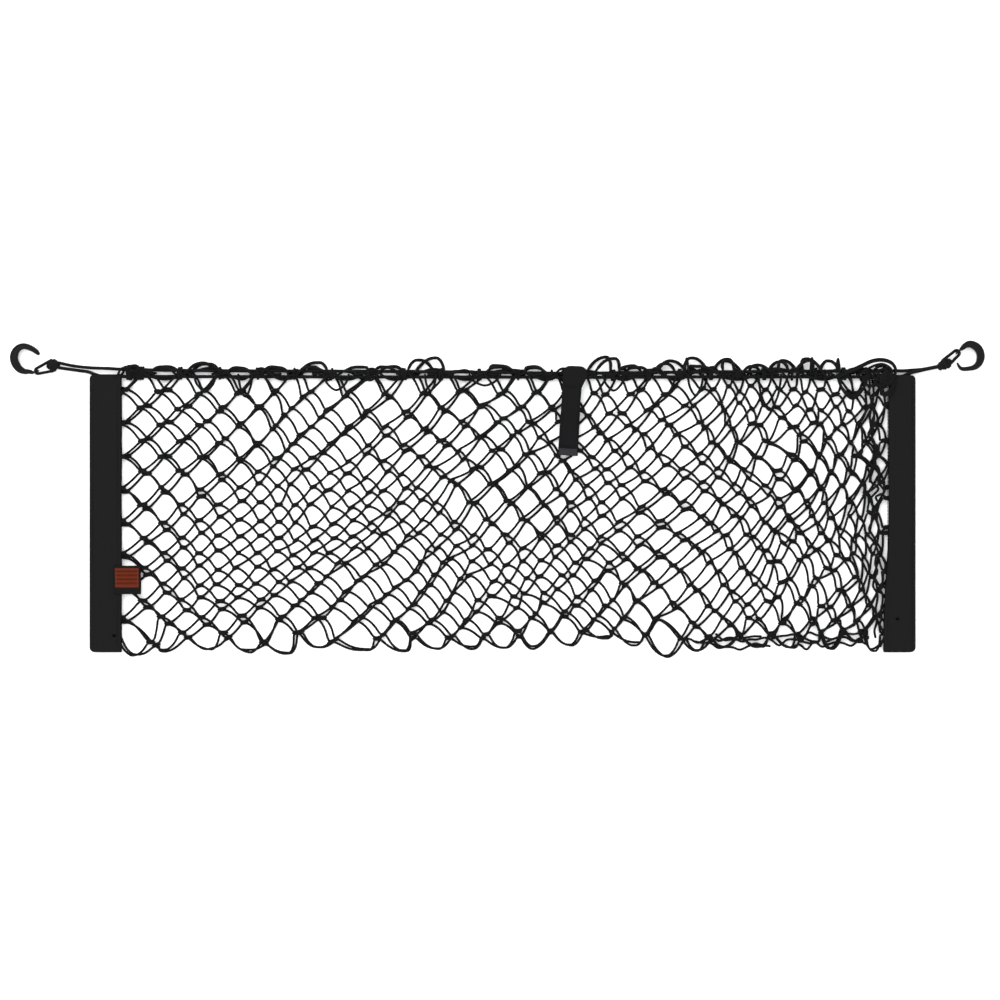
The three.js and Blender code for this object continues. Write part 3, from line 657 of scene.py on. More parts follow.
def hanging_thread(left, right, low, lift):
    """A slack thread that hangs from the cords between two places, down to a lowest y."""
    inset = (right - left) * 0.14
    shoulder = low + (HANGS_FROM[0] - low) * 0.42
    return loose_thread([
        [left, *HANGS_FROM],
        [left + inset, shoulder, lift],
        [(left + right) / 2, low, lift],
        [right - inset, shoulder, lift],
        [right, *HANGS_FROM],
    ], 2)


ON_BAND = 9.1  # lift of a thread that lies on a band
snarls = [
    wandering_loop((419, 122), (9, 13), ON_BAND, 4, 51),
    wandering_loop((402, 128), (9, 9), 6.4, 3, 52),
    wandering_loop((414, 134), (10, 7), ON_BAND, 3, 53),
    wandering_loop((-391, 140), (8, 5), 7.4, 3, 54),
    wandering_loop((414, 127), (8, 9), 7.8, 5, 56),
    wandering_loop((420, 130), (8, 8), 9.4, 4, 57),
]
BIG_ARC = [
    [366, 133, 7.4], [378, 138, 7.8], [391, 144, 8.2], [403, 149.5, 8.6], [414, 151.0, 9.0],
    [424, 148, 9.2], [429, 141, 9.2], [428, 135, 9.0], [424, 131, 8.6], [417, 129, 8.0],
]
SECOND_ARC = [
    [384, 131, 7.4], [394, 137, 8.0], [404, 143, 9.4], [414, 145.5, 10.4], [422, 142, 10.4],
    [425, 136, 10.0], [421, 131, 9.4], [414, 128, 8.6],
]
for arc in (BIG_ARC, BIG_ARC + np.array([0, -2.0, 1.2]), SECOND_ARC):
    snarls.append(loose_thread(arc, 2))
# Hairpins of slack that stand up at the rim: [x, top].
HAIRPIN = np.array([[-1.5, 137, 7.6], [-1.2, 145, 7.9], [0, 0, 8.0], [1.3, 145, 7.9], [2, 137, 7.6]])
for x, top in ((204, 152), (339, 152.5), (367, 151.5)):
    hairpin = HAIRPIN + [x, 0, 0]
    hairpin[2, 1] = top
    snarls.append(loose_thread(hairpin, 1.6))
# Slack that hangs from the cords: [left, right, lowest y, lift]. The last three hang together.
HANGING = [
    [-327, -303, 116.5, 6.4], [-279, -264, 110.5, 6.6], [-187, -160, 117.5, 6.2],
    [-78, -66, 116.5, 6.6], [-30, 3, 122.5, 6.4], [114, 137, 117.0, 6.4], [205, 222, 112.0, 6.4],
    [281, 306, 96.0, 6.6], [367, 399, 108.2, 5.4], [367, 399, 110.2, 7.2], [366, 400, 111.8, 5.8],
]
snarls += [hanging_thread(*row) for row in HANGING]


# %% Gathered threads
def gathered_thread(x, bottom, top, sway, lift, seed):
    """A thread that runs up beside the band, swaying from side to side."""
    pick = np.random.default_rng(seed)
    y = np.arange(bottom, top, 8.0)
    return loose_thread(np.column_stack([
        x + sway * pick.normal(0, 0.6, len(y)),
        y + pick.normal(0, 1.2, len(y)),
        lift + pick.uniform(-0.6, 0.9, len(y)),
    ]), 1.8)


def folded_thread(left, right, y, lift, seed):
    """A slack thread that lies along the fold."""
    pick = np.random.default_rng(seed)
    x = np.arange(left, right, 8.0)
    y = y + pick.normal(0, 2.6, len(x))
    return loose_thread(np.column_stack([x, y, lift + pick.uniform(-0.5, 0.5, len(x))]), 1.8)


# Beside the right band: [x, bottom, top, sway, lift, seed]. Along the fold: [left, right, y, lift, seed].
GATHERED = [
    [405, -60, 118, 3.6, 4.4, 61], [410, -150, 60, 4.0, 5.6, 62], [403, 20, 108, 4.5, 3.0, 64],
    [415, -160, -60, 3.0, 6.0, 65],
]
FOLDED = [
    [200, 330, -153, 3.4, 81], [214, 300, -158, 2.4, 82], [296, 404, -147, 3.2, 83],
    [318, 404, -156, 2.2, 84], [236, 290, -149, 4.2, 85], [352, 404, -151, 4.0, 86],
]
snarls += [gathered_thread(*row) for row in GATHERED]
snarls += [folded_thread(*row) for row in FOLDED]
net_turns = make_piece("net_turns_on_cords", joined(turns), "netting")
net_snarls = make_piece("net_slack_loops", joined(snarls), "netting")

# %% [markdown]
# ## The side bands
# Each side of the net is caught in a strip of polypropylene webbing, folded over it and sewn
# through. The strip is one sheet with a round fold at its outer edge. It is built row by row, and
# near its two ends the fold draws in, which rounds the corners. Two rows of lock stitches hold the
# leaves together, and one bar tack locks a seam.

# %% A folded band
BAND_LEAF = 1.2
BAND_WIDTH = 34.6
BAND_CORNER = 5.0
LEAF_POINTS = 18  # points across one leaf
SEAM_FROM_FOLD, SEAM_FROM_EDGE = 4.2, 4.0
SEAM_WIDTH = 1.1


def band_line(fold_x, open_x, facing):
    """The band's middle line across, from the front leaf's edge round the fold to the back one's."""
    radius = (BAND_HEIGHT - BAND_LEAF) / 2
    middle = BAND_HEIGHT / 2
    bend = np.linspace(math.pi / 2, 3 * math.pi / 2, 9)[1:-1]
    inner_x = fold_x + facing * middle
    across = np.linspace(open_x, inner_x, LEAF_POINTS)
    front = np.column_stack([across, np.full(LEAF_POINTS, middle + radius)])
    fold = np.column_stack([inner_x + facing * radius * np.cos(bend), middle + radius * np.sin(bend)])
    back = np.column_stack([across[::-1], np.full(LEAF_POINTS, middle - radius)])
    return np.concatenate([front, fold, back])


def side_normals(line):
    """Unit normals of a strip that is seen from the side, to the left of its run."""
    along = unit(np.gradient(line, axis=0))
    return np.column_stack([-along[:, 1], along[:, 0]])


def stood_at(y, line):
    """A line of [x, z], put at a place along the net."""
    return np.column_stack([line[:, 0], np.full(len(line), y), line[:, 1]])


def band_edges(node, facing):
    """A band's lowest and highest corners, and the x of its fold and of its open edge."""
    low, high = box_in_mm(node)
    return (low, high, low[0], high[0]) if facing > 0 else (low, high, high[0], low[0])


def fold_band(name, node, facing, seed, narrower):
    """A band over one side of the net. Facing is 1 if it opens to the right.

    Its top end is narrower by the last number, in mm.
    """
    low, high, fold_edge, open_edge = band_edges(node, facing)
    corner = BAND_CORNER * (1 - np.cos(np.linspace(0, math.pi / 2, 6)))
    straight = np.linspace(low[1] + BAND_CORNER, high[1] - BAND_CORNER, 90)[1:-1]
    wobble = np.random.default_rng(seed).uniform(0, 6.3, 3)
    top, bottom = [], []
    for y in np.concatenate([low[1] + corner, straight, high[1] - corner[::-1]]):
        into = max(low[1] + BAND_CORNER - y, y - (high[1] - BAND_CORNER), 0)
        draw_in = BAND_CORNER - math.sqrt(max(BAND_CORNER**2 - into**2, 0))
        ripple = 0.25 * math.sin(y / 23 + wobble[0]) + 0.15 * math.sin(y / 9.7 + wobble[1])
        inner_edge = open_edge - facing * narrower * ease(y, -150, -20) + 0.5 * ripple
        line = band_line(fold_edge + facing * draw_in, inner_edge, facing)
        outward = side_normals(line) * -facing
        place = np.abs(line[:, 0] - fold_edge)
        front = line[:, 1] > BAND_HEIGHT / 2
        pressed = 0.35 * np.exp(-(((place - SEAM_FROM_FOLD) / SEAM_WIDTH) ** 2))
        pressed += 0.25 * np.exp(-(((BAND_WIDTH - place - SEAM_FROM_EDGE) / SEAM_WIDTH) ** 2))
        puff = 0.12 * np.sin(y / 31 + place / 6 + wobble[2])
        line[:, 1] += np.where(front, puff - pressed, 0)
        edge = np.minimum(np.arange(len(line)), np.arange(len(line))[::-1])
        half = BAND_LEAF / 2 * np.clip(0.45 + 0.4 * edge, 0, 1)
        selvedge = 0.12 * (edge == 1) * front
        top.append(stood_at(y, line + outward * (half + selvedge)[:, None]))
        bottom.append(stood_at(y, line - outward * half[:, None]))
    top, bottom = np.array(top)[:, ::-facing], np.array(bottom)[:, ::-facing]
    return make_piece(name, slab(top, bottom), "band_webbing", node)


band_left = fold_band("band_left_webbing", "band_left", 1, 21, narrower=0)
band_right = fold_band("band_right_webbing", "band_right", -1, 22, narrower=5.5)


# %% Stitches
def stitch_row(start, end, length=3.0, gap=0.9, radius=0.33):
    """Lock stitches from start to end, in mm: each one is a short thread that dips at its ends."""
    start, end = np.array(start, float), np.array(end, float)
    along = unit(end - start)
    t = np.linspace(0, 1, 5)
    parts = []
    for i in range(int(np.linalg.norm(end - start) // (length + gap))):
        line = start + along * (i * (length + gap) + t * length)[:, None]
        line[:, 2] += 0.16 * np.sin(math.pi * t) - 0.06
        parts.append(tube(line, radius, 6))
    return parts


TACK_WIDTH, TACK_HEIGHT = 3.4, 2.6
TACK_TURNS = 9


def bar_tack(x, y, level):
    """A dense zigzag of thread that locks the end of a seam."""
    t = np.arange(2 * TACK_TURNS + 1)
    line = np.column_stack([
        x + TACK_WIDTH / 2 * np.where(t % 2, 1, -1),
        y + np.linspace(-TACK_HEIGHT / 2, TACK_HEIGHT / 2, len(t)),
        np.full(len(t), level),
    ])
    return tube(line, 0.3, 6)


def sew_band(name, node, facing, tack):
    """Two seams down the front leaf and a bar tack at a given place."""
    low, high, fold_edge, open_edge = band_edges(node, facing)
    parts = []
    for x, sunk in (
        (fold_edge + facing * SEAM_FROM_FOLD, 0.35),
        (open_edge - facing * SEAM_FROM_EDGE, 0.25),
    ):
        parts += stitch_row([x, low[1] + 7, high[2] - sunk], [x, high[1] - 5, high[2] - sunk])
    parts.append(bar_tack(*tack, high[2] + 0.1))
    return make_piece(name, joined(parts), "band_webbing")


stitches_left = sew_band("band_left_stitches", "band_left", 1, (-413, -147))
stitches_right = sew_band("band_right_stitches", "band_right", -1, (431, -129))

# %% [markdown]
# ## End knots and hook loops
# At each end the two cords are tied together, and the tail runs on as a small loop that holds the
# hook. A knot this tight shows as a few fat wraps with one strand crossing them, so it is made of
# exactly that: rings of cord round a core, a little askew, and one diagonal turn over the top.

# %% A tight knot
KNOT_LEVEL = 4.8
WRAP_RADIUS = 1.75
CORE_SHARE = 0.86  # how much of the wraps' width the core fills

# Each wrap: [place along the knot, half its width, how far it leans].
LEFT_WRAPS = [[-3.0, 4.9, 0.8], [-0.7, 5.7, -1.0], [1.5, 4.8, 0.9], [3.7, 3.4, -0.6]]
RIGHT_WRAPS = [[-5.4, 2.3, 0.5], [-2.9, 3.3, -0.8], [-0.3, 4.2, 0.9], [2.3, 4.8, -0.9], [4.6, 4.3, 0.6]]


def tie_knot(name, node, degrees, wraps):
    """Wraps of cord round a core, along X at first, then turned to the pull."""
    low, high = box_in_mm(node)
    around = full_turn(24)
    up = KNOT_LEVEL - WRAP_RADIUS

    def placed(*columns):
        return turned(np.column_stack(columns), degrees) + (low + high) / 2

    parts = []
    for along, width, skew in wraps:
        ring = placed(along + skew * np.sin(around + 0.6), width * np.cos(around), up * np.sin(around))
        parts.append(tube(ring, WRAP_RADIUS, 10, closed=True))
    t = np.linspace(0, 1, 15)
    first, last = wraps[0], wraps[-1]
    crossing = placed(
        first[0] + (last[0] - first[0]) * t,
        (first[1] * (1 - t) + last[1] * t) * np.cos(math.pi * t),
        (up + 0.1) * np.sin(math.pi * t) ** 0.7,
    )
    parts.append(tube(crossing, WRAP_RADIUS, 10))
    places = np.linspace(first[0] - 0.8, last[0] + 1.2, 15)
    core = placed(places, np.zeros(15), np.zeros(15))
    parts.append(tube(core, CORE_SHARE * read(wraps, places), 16, flatten=0.7))
    return make_piece(name, joined(parts), "elastic_cord", node)


knot_left = tie_knot("end_knot_left", "knot_left", 13, LEFT_WRAPS)
knot_right = tie_knot("end_knot_right", "knot_right", 30, RIGHT_WRAPS)

# %% The loop that holds a hook
LOOP_DIAMETER = 3.3
LOOP_LENGTH = 14.8
HOOK_LEVEL = 4.7
EYE_RADIUS, EYE_WIRE = 3.05, 1.15
LEFT_EYE, LEFT_PULL = (-495.2, 138.4, HOOK_LEVEL), 20
RIGHT_EYE, RIGHT_PULL = (495.2, 157.5, HOOK_LEVEL), -138


def bend_loop(name, node, eye, pull, spread):
    """A hairpin of cord round the eye's wire, with both ends in the knot, spread that far."""
    reach = LOOP_DIAMETER / 2 + EYE_WIRE + 0.3
    side = [[share * LOOP_LENGTH, reach + (spread / 2 - reach) * share] for share in np.linspace(0, 1, 5)]
    bend = [[-reach * math.sin(a), reach * math.cos(a)] for a in np.linspace(0, math.pi, 5)[1:-1]]
    route = side[::-1] + bend + [[x, -y] for x, y in side]
    line = turned(smooth_line([[x, y, 0] for x, y in route], 0.9), pull) + eye
    return lay_cord(name, node, line, LOOP_DIAMETER)


loop_left = bend_loop("hook_loop_left", "loop_left", LEFT_EYE, LEFT_PULL, 11.2)
loop_right = bend_loop("hook_loop_right", "loop_right", RIGHT_EYE, RIGHT_PULL, 8.4)

# %% [markdown]
# ## The hooks
# The hooks are moulded in nylon, thick where they bend most and tapering to a blunt tip. The mould
# leaves a fine parting line round the edge and a shallow channel on each flat side, which saves
# plastic. The section below has all three: rounded corners, the ridge and the channel. It is run
# along the same stations as the CAD model, with many more steps between them.

# %% Moulded hooks
# Each station: [x, y, width, depth].
LEFT_HOOK = [
    [-504.6, 137.5, 4.6, 5.4], [-510.0, 137.8, 6.0, 7.0], [-515.0, 140.2, 7.6, 8.8],
    [-518.8, 144.8, 8.6, 9.4], [-520.9, 150.0, 8.7, 9.4], [-521.0, 155.0, 8.6, 9.4],
    [-519.0, 160.2, 7.9, 8.8], [-515.5, 163.6, 7.0, 8.0], [-510.3, 165.0, 6.4, 7.2],
    [-505.2, 163.8, 6.0, 6.6], [-500.6, 161.6, 5.6, 6.0], [-496.6, 158.7, 5.0, 5.4],
    [-494.6, 156.6, 3.4, 3.8],
]
RIGHT_HOOK = [
    [501.6, 163.0, 4.8, 5.4], [504.6, 165.6, 6.0, 7.0], [509.2, 167.2, 7.6, 8.8],
    [514.6, 165.6, 8.5, 9.4], [518.9, 161.8, 8.7, 9.4], [521.0, 156.4, 8.6, 9.4],
    [520.9, 151.0, 8.2, 9.0], [519.0, 146.2, 7.2, 8.2], [515.0, 142.5, 5.8, 7.2],
    [508.6, 140.8, 4.6, 6.2], [501.4, 140.4, 4.2, 5.6], [498.3, 142.6, 3.2, 4.8],
    [496.2, 146.2, 2.0, 4.0],
]
SHANK_FROM_EYE, SHANK_SECTION = 5.8, [3.4, 4.4]
BLUNT_TIP = [[0.7, 0.78], [1.15, 0.42]]  # two last sections: [how far on, how big]
ROUNDING = 0.62  # 1 gives an ellipse and 0 a box
RIDGE, CHANNEL = 0.14, 0.07  # height of the parting line in mm, and the channel's share of the depth
SECTION_POINTS = 32
SECTION_GIRTH = 25  # about, in mm


def hook_section(width, depth):
    """A rounded box with a parting ridge on its sides and a channel on its flats."""
    points = []
    for angle in full_turn(SECTION_POINTS):
        c, s = math.cos(angle), math.sin(angle)
        across = math.copysign(abs(c) ** ROUNDING, c) * width / 2
        up = math.copysign(abs(s) ** ROUNDING, s) * depth / 2
        ridge = RIDGE * (abs(s) < 0.1)
        channel = CHANNEL * depth * max(0, 1 - (across / (0.27 * width)) ** 4)
        points.append([across + math.copysign(ridge, c), up - math.copysign(channel, s)])
    return np.array(points)


def mould_hook(name, node, stations, eye, pull):
    """The hook's bar, swept through its stations, and the upright ring of its eye."""
    shank = (np.array(eye) - turned([SHANK_FROM_EYE, 0, 0], pull))[:2]
    line = smooth_line([[*shank, *SHANK_SECTION], *stations], 1.0)
    middle = np.column_stack([line[:, :2], np.full(len(line), HOOK_LEVEL)])
    along = unit(np.gradient(middle, axis=0))
    rings = []
    for place, (run_x, run_y, _), (width, depth) in zip(middle, along, line[:, 2:]):
        section = hook_section(width, depth)
        across = np.array([run_y, -run_x, 0])
        rings.append(place + section[:, :1] * across + section[:, 1:] * np.array([0, 0, 1]))
    end = rings[-1] - middle[-1]
    rings += [middle[-1] + end * shrink + along[-1] * step for step, shrink in BLUNT_TIP]
    bar = skin(np.array(rings), SECTION_GIRTH)
    around = full_turn(SECTION_POINTS)
    ring = EYE_RADIUS * np.column_stack([np.cos(around) - 1, np.zeros(len(around)), np.sin(around)])
    wire = tube(turned(ring, pull) + eye, EYE_WIRE, 12, closed=True, aside=turned([0, 1, 0], pull))
    return make_piece(name, joined([bar, wire]), "moulded_hook", node)


hook_left = mould_hook("end_hook_left", "hook_left", LEFT_HOOK, LEFT_EYE, LEFT_PULL)
hook_right = mould_hook("end_hook_right", "hook_right", RIGHT_HOOK, RIGHT_EYE, RIGHT_PULL)

# %% [markdown]
# ## The closure strap
# A piece of hook-and-loop tape is folded over both cords and sewn to the front of the net. Its
# head is a little wider and puffed where it goes over the cords, and its tail lies flat and ends in
# a short patch of hook tape. It is one strip built along its side view, then leant a few degrees.

# %% Strap
STRAP_CROSSING = [81.2, 135.0, 0]  # where the strap's middle line crosses the cords
STRAP_TILT = -3.4
STRAP_LEAF = 1.2
STRAP_CREST = 10.1  # nothing on it stands higher

# Middle line of the strip from the side: [y, z], from the end of its tail to its end at the back.
STRAP_SIDE_VIEW = [
    [47.0, 5.9], [60.0, 5.9], [76.0, 5.9], [86.0, 6.8], [98.0, 8.3], [109.0, 9.3], [120.0, 9.45],
    [132.0, 9.5], [139.5, 9.4], [142.4, 8.2], [143.2, 5.6], [142.6, 3.0], [140.4, 1.5],
    [135.0, 1.4], [130.4, 1.4],
]
# How wide the strap is at each place along it: [y, width]. The back leaf has its own widths.
STRAP_WIDTHS = [
    [46.8, 21.4], [76, 21.4], [107, 20.4], [120, 21.2], [127, 24.0], [132, 26.2], [138.4, 26.0],
    [141.4, 22.0], [143.8, 13.6],
]
BACK_WIDTHS = [[138, 20], [143.4, 14]]
HEAD_SHIFT = [[121, 0], [133, 2.6], [144, 2.6]]  # [y, how far the head sits to the right]


def leant(points):
    """Points drawn about the strap's own middle line, put in place."""
    x, y, _ = STRAP_CROSSING
    return turned(np.subtract(points, [0, y, 0]), STRAP_TILT) + [x, y, 0]


def fold_strap():
    """The strip along its side view, with soft edges and a slightly hollow tail."""
    line = smooth_line(STRAP_SIDE_VIEW, 1.2)
    across = np.linspace(-1, 1, 25)
    thin = STRAP_LEAF / 2 * np.clip(3.2 * (1 - np.abs(across)), 0.3, 1) ** 0.5
    top, bottom = [], []
    for i, ((y, z), normal) in enumerate(zip(line, side_normals(line))):
        front = i < np.argmax(line[:, 0])
        x = across * read(STRAP_WIDTHS if front else BACK_WIDTHS, y) / 2 + read(HEAD_SHIFT, y)
        ripple = 0.22 * math.sin(y / 7.3) * across + 0.15 * np.sin(3 * across + y / 11)
        for grid, offset in ((top, thin + ripple * front), (bottom, ripple * front - thin)):
            height = np.minimum(z + offset * normal[1], STRAP_CREST)
            grid.append(np.column_stack([x, y + offset * normal[0], height]))
    shape = slab(leant(np.array(top)), leant(np.array(bottom)))
    return make_piece("closure_strap_tape", shape, "strap_tape", "closure_strap")


def sew_strap():
    """A seam along both edges of the front, and two across it."""
    stations = [(48.5, 6.6), (76, 6.6), (98, 9.0), (109, 9.95), (126, 10.1)]
    seams = [
        [(side * 8.6, *start), (side * 8.6, *end)]
        for side in (-1, 1) for start, end in zip(stations, stations[1:])
    ]
    seams += [[(-8, y, z), (8, y, z)] for y, z in ((57.2, 6.6), (121.5, 10.15))]
    parts = []
    for start, end in seams:
        parts += stitch_row(leant(start), leant(end), length=2.6, gap=0.8, radius=0.28)
    return make_piece("closure_strap_stitches", joined(parts), "strap_tape")


strap = fold_strap()
strap_stitches = sew_strap()

# %% Patch
PATCH_WIDTH, PATCH_LENGTH, PATCH_LEAF = 19.4, 7.6, 1.0
PATCH_BOTTOM = 46.8
PATCH_LEVEL = 7.25  # height of its middle, on the strap's tail


def sew_patch():
    """The patch of hook tape at the end of the tail, with soft corners and a slight curl."""
    across, down = np.meshgrid(np.linspace(-1, 1, 21), np.linspace(-1, 1, 11))
    wide, tall = np.abs(across), np.abs(down)
    reach = 1 - 0.5 * np.maximum(wide - 0.9, 0) * tall
    x = across * PATCH_WIDTH / 2 * np.where(tall > 0.99, 0.985, 1)
    y = PATCH_BOTTOM + PATCH_LENGTH / 2 * (1 + down * reach)
    level = PATCH_LEVEL + 0.1 * across * down
    half = PATCH_LEAF / 2 * np.clip(6 * (1 - np.maximum(wide, tall)), 0.4, 1) ** 0.5
    top, bottom = (leant(np.stack([x, y, level + sign * half], -1)) for sign in (1, -1))
    return make_piece("strap_patch_tape", slab(top, bottom), "patch_tape", "strap_patch")


patch = sew_patch()

# %% [markdown]
# ## The label
# A woven tag is folded double and sewn in at the left band's inner edge. Its front leaf lies on the
# band, its fold sticks out over the net, and its back leaf is caught under. The tag carries no
# words here: only a black border and a rust-red field with a line round it and broad plain bars.

# %% A folded tag
LABEL_LEAF = 0.8
# From its front edge round the fold to its back edge: [x, z].
LABEL_SIDE_VIEW = [
    [-412.6, 8.4], [-405.0, 8.4], [-397.0, 8.4], [-388.0, 8.4], [-385.0, 8.3], [-384.1, 7.85],
    [-385.0, 7.35], [-390.0, 7.3], [-397.0, 7.3], [-404.8, 7.3],
]
LABEL_BOTTOM, LABEL_TOP = -102.4, -71.6


def fold_label():
    """The tag as one strip, a little wavy and thinner at its two cut edges."""
    line = smooth_line(LABEL_SIDE_VIEW, 0.9)
    out = side_normals(line)
    top, bottom = [], []
    for share in np.linspace(0, 1, 27):
        y = LABEL_BOTTOM + (LABEL_TOP - LABEL_BOTTOM) * share
        half = LABEL_LEAF / 2 * min(1, 0.6 + 0.4 * min(share, 1 - share) * 26)
        row = line + [0.12 * math.sin(5 * share), 0]
        top.append(stood_at(y, row + out * half))
        bottom.append(stood_at(y, row - out * half))
    return make_piece("woven_label", slab(np.array(top), np.array(bottom)), "label_tape", "label")


label = fold_label()

# %% [markdown]
# ## Materials
# Every surface is procedural. The black pieces are not the same black: polyester thread is a little
# warm and dull, the moulded nylon has a soft shine, and hook-and-loop tape is fuzzy and lighter.
# A picture could carry each weave, but it would blur close up. So each pattern is a set of waves
# over the UV map, whose millimetres give it its real spacing, and it only lifts the surface a little.
# One small function adds a node with its settings and links, and another one turns a #rrggbb colour
# into the linear numbers that shaders use.

# %% Colours and nodes
def linear(hex_colour):
    """A #rrggbb colour as linear numbers."""
    parts = [int(hex_colour[i:i + 2], 16) / 255 for i in (1, 3, 5)]
    return (*[p / 12.92 if p <= 0.04045 else ((p + 0.055) / 1.055) ** 2.4 for p in parts], 1.0)


def new_material(name, colour, roughness, specular):
    """A material with its plain values on the shader itself, and that shader's inputs."""
    material = bpy.data.materials.new(name)
    material.use_nodes = True
    shader = material.node_tree.nodes["Principled BSDF"].inputs
    shader["Base Color"].default_value = linear(colour)
    shader["Roughness"].default_value = roughness
    shader["Specular IOR Level"].default_value = specular
    return material, shader


def add_node(material, kind, inputs=(), to=None, **settings):
    """One node with its settings and links, which gives back its outputs.

    Inputs go by place or by name. Each is a value or another node's output.
    """
    node = material.node_tree.nodes.new("ShaderNode" + kind)
    for name, value in settings.items():
        setattr(node, name, value)
    for place, value in inputs.items() if isinstance(inputs, dict) else enumerate(inputs):
        if isinstance(value, bpy.types.NodeSocket):
            material.node_tree.links.new(value, node.inputs[place])
        else:
            node.inputs[place].default_value = value
    if to is not None:
        material.node_tree.links.new(node.outputs[0], to)
    return node.outputs


def uv_in_mm(material):
    """The piece's own UV map, as two distances in mm."""
    uv = add_node(material, "UVMap", uv_map="along_the_piece")
    return add_node(material, "SeparateXYZ", [uv["UV"]])[:2]


def ridges(material, *spacings):
    """Soft ridges from 0 to 1. Each spacing is a distance and after how many mm of it they repeat."""
    turn = 0.0
    for distance, spacing in spacings:
        step = 2 * math.pi / spacing
        turn = add_node(material, "Math", [distance, step, turn], operation="MULTIPLY_ADD")[0]
    wave = add_node(material, "Math", [turn], operation="SINE")[0]
    return add_node(material, "Math", [wave, 0.5, 0.5], operation="MULTIPLY_ADD")[0]


def grain(material, scale, **more):
    """An even, fine unevenness from 0 to 1."""
    place = add_node(material, "TexCoord")["Object"]
    return add_node(material, "TexNoise", {"Vector": place, "Scale": scale, **more})[0]


# %% Knitted polyester thread
# Matt twisted filaments, so almost no shine. The real twist is finer: its diagonals are drawn every
# 1.6 mm along the thread, as coarse as they need to be to show.
thread, shader = new_material("knitted_polyester_thread", "#0e0e0f", 0.8, 0.05)
along, around = uv_in_mm(thread)
twisted = ridges(thread, (around, 2.5), (along, 1.6))
add_node(thread, "Bump", {"Height": twisted, "Distance": 0.3 * MM}, shader["Normal"])

# %% Braided polyester cover
# Yarns plaited over a rubber core: a dull sheen, and two sets of diagonals that cross every 2.2 mm.
# The higher one of the two shows.
braid, shader = new_material("braided_polyester_cover", "#0d0d0e", 0.7, 0.06)
along, around = uv_in_mm(braid)
both = [ridges(braid, (along, 2.2), (around, lean)) for lean in (1.9, -1.9)]
crossed = add_node(braid, "Math", both, operation="MAXIMUM")[0]
add_node(braid, "Bump", {"Height": crossed, "Distance": 0.35 * MM}, shader["Normal"])

# %% Woven polypropylene webbing
# Coarse matt tape. Ribs run along it every 1.1 mm, and threads cross them every 1.8 mm, half a step
# further on in every second rib.
RIB = 1.1
webbing, shader = new_material("woven_polypropylene_webbing", "#111111", 0.85, 0.05)
across, along = uv_in_mm(webbing)
place_in_ribs = add_node(webbing, "Math", [across, RIB], operation="DIVIDE")[0]
rib_number = add_node(webbing, "Math", [place_in_ribs], operation="FLOOR")[0]
crossing = ridges(webbing, (along, 1.8), (rib_number, 2.0))
rib = ridges(webbing, (across, RIB))
woven = add_node(webbing, "Math", [crossing, 0.6, rib], operation="MULTIPLY_ADD")[0]
add_node(webbing, "Bump", {"Height": woven, "Distance": 0.22 * MM}, shader["Normal"])

# %% Moulded nylon
# An eroded mould leaves a soft shine and a grain that is finer than it is drawn here, about 1 mm.
nylon, shader = new_material("moulded_nylon", "#0a0a0b", 0.5, 0.07)
add_node(nylon, "Bump", {"Height": grain(nylon, 900.0), "Distance": 0.04 * MM}, shader["Normal"])

# %% Hook-and-loop tape, and its patch
# Brushed loops are fuzzy and take no shine. The stiff hooks stand in rows, 1 mm by 1.2 mm apart.
loop_tape, shader = new_material("brushed_loop_tape", "#101011", 0.95, 0.04)
fuzz = grain(loop_tape, 1400.0, Detail=4.0, Roughness=0.7)
add_node(loop_tape, "Bump", {"Height": fuzz, "Distance": 0.5 * MM}, shader["Normal"])

hook_tape, shader = new_material("hook_tape", "#212124", 0.75, 0.08)
across, along = uv_in_mm(hook_tape)
rows = [ridges(hook_tape, (across, 1.0)), ridges(hook_tape, (along, 1.2))]
pins = add_node(hook_tape, "Math", rows, operation="MULTIPLY")[0]
add_node(hook_tape, "Bump", {"Height": pins, "Distance": 0.3 * MM}, shader["Normal"])

# %% Woven label
# Rust-red weft between black borders. The front leaf is the first 28 mm of the strip.
BLACK, RUST_DARK, RUST_LIGHT, RUST_LINE = "#0d0c0c", "#240b06", "#551e0c", "#4b2214"
FIELD = [[0.8, 26.4], [7.0, 28.2]]  # from and to, across the strip and along it
tag, shader = new_material("woven_label_tape", BLACK, 0.8, 0.05)
tag_place = uv_in_mm(tag)


def inside_field(margin):
    """1 inside the label's field less a margin, and 0 outside it."""
    within = 1.0
    for distance, (start, stop) in zip(tag_place, FIELD):
        above = add_node(tag, "Math", [distance, start + margin], operation="GREATER_THAN")[0]
        below = add_node(tag, "Math", [distance, stop - margin], operation="LESS_THAN")[0]
        for one in (above, below):
            within = add_node(tag, "Math", [within, one], operation="MULTIPLY")[0]
    return within


# The weft floats in broad bars 4.3 mm apart, with uneven threads, and a lighter line frames them.
uneven = add_node(tag, "Math", [grain(tag, 420.0), 0.5], operation="MULTIPLY")[0]
bars = ridges(tag, (tag_place[1], 4.3))
bars = add_node(tag, "Math", [bars, 0.55, uneven], operation="MULTIPLY_ADD")[0]
framed = add_node(tag, "Math", [inside_field(0.9), inside_field(1.7)], operation="SUBTRACT")[0]
rust = {"Factor": bars, "A": linear(RUST_DARK), "B": linear(RUST_LIGHT)}
rust = add_node(tag, "Mix", rust, data_type="RGBA")["Result"]
lined = {"Factor": framed, "A": rust, "B": linear(RUST_LINE)}
lined = add_node(tag, "Mix", lined, data_type="RGBA")["Result"]
bordered = {"Factor": inside_field(0.0), "A": linear(BLACK), "B": lined}
bordered = add_node(tag, "Mix", bordered, data_type="RGBA")["Result"]
tag.node_tree.links.new(bordered, shader["Base Color"])
weft = ridges(tag, (tag_place[1], 0.6))
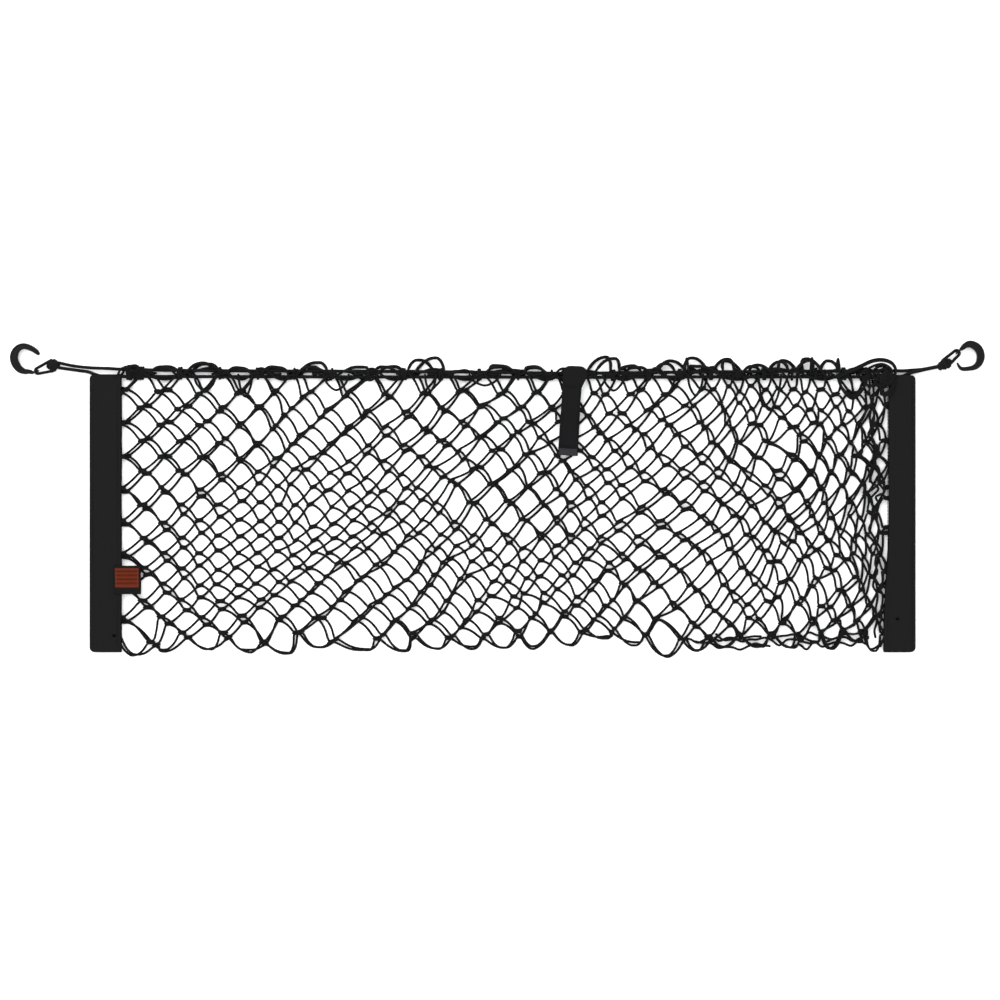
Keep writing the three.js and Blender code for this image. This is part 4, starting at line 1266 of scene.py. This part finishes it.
add_node(tag, "Bump", {"Height": weft, "Distance": 0.08 * MM}, shader["Normal"])

# %% Dress the pieces
DRESSING = [
    (thread, [net_front, net_back, net_turns, net_snarls]),
    (thread, [stitches_left, stitches_right, strap_stitches]),
    (braid, [cord_front, cord_back, knot_left, knot_right, loop_left, loop_right]),
    (webbing, [band_left, band_right]),
    (nylon, [hook_left, hook_right]),
    (loop_tape, [strap]),
    (hook_tape, [patch]),
    (tag, [label]),
]
for material, pieces in DRESSING:
    for piece in pieces:
        piece.data.materials.append(material)
print("faces in all:", sum(len(piece.data.polygons) for _, pieces in DRESSING for piece in pieces))

# %% [markdown]
# ## Table and light
# The net lies on a white table under an even studio light. Even light suits a black, lacy thing: the
# table stays white between the threads and no shadow doubles them. One wide lamp from the upper left
# gives the cords and hooks a soft shine.

# %% Table
TABLE_SIZE = 14.0
TABLE_LEVEL = -0.001

half = TABLE_SIZE / 2
table_mesh = bpy.data.meshes.new("white_table")
corners = [(-half, -half, 0), (half, -half, 0), (half, half, 0), (-half, half, 0)]
table_mesh.from_pydata(corners, [], [(0, 1, 2, 3)])
table_paint, _ = new_material("white_table_paint", "#f6f6f6", 0.9, 0.1)
table_mesh.materials.append(table_paint)
table = bpy.data.objects.new("white_table", table_mesh)
table.location = (0, 0, TABLE_LEVEL)
bpy.context.scene.collection.objects.link(table)
table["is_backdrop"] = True

# %% Light
LAMP_PLACE, LAMP_SIZE, LAMP_POWER = np.array([-1.2, 1.4, 2.4]), 2.0, 60
WORLD_STRENGTH = 1.95

world = bpy.data.worlds.new("even_studio")
world.use_nodes = True
world.node_tree.nodes["Background"].inputs["Color"].default_value = (1, 1, 1, 1)
world.node_tree.nodes["Background"].inputs["Strength"].default_value = WORLD_STRENGTH
bpy.context.scene.world = world
bpy.context.scene.view_settings.view_transform = "Standard"

lamp_data = bpy.data.lights.new("wide_lamp", "AREA")
lamp_data.size = LAMP_SIZE
lamp_data.energy = LAMP_POWER
lamp = bpy.data.objects.new("wide_lamp", lamp_data)
lamp.location = LAMP_PLACE
tilt = math.acos(LAMP_PLACE[2] / np.linalg.norm(LAMP_PLACE))
lamp.rotation_euler = (0, tilt, math.atan2(LAMP_PLACE[1], LAMP_PLACE[0]))  # at the net's middle
bpy.context.scene.collection.objects.link(lamp)
lamp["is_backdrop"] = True

# %% Measure and finish
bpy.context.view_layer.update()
low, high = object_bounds()
print("visual size:", [round((b - a) / MM, 1) for a, b in zip(low, high)], "mm")
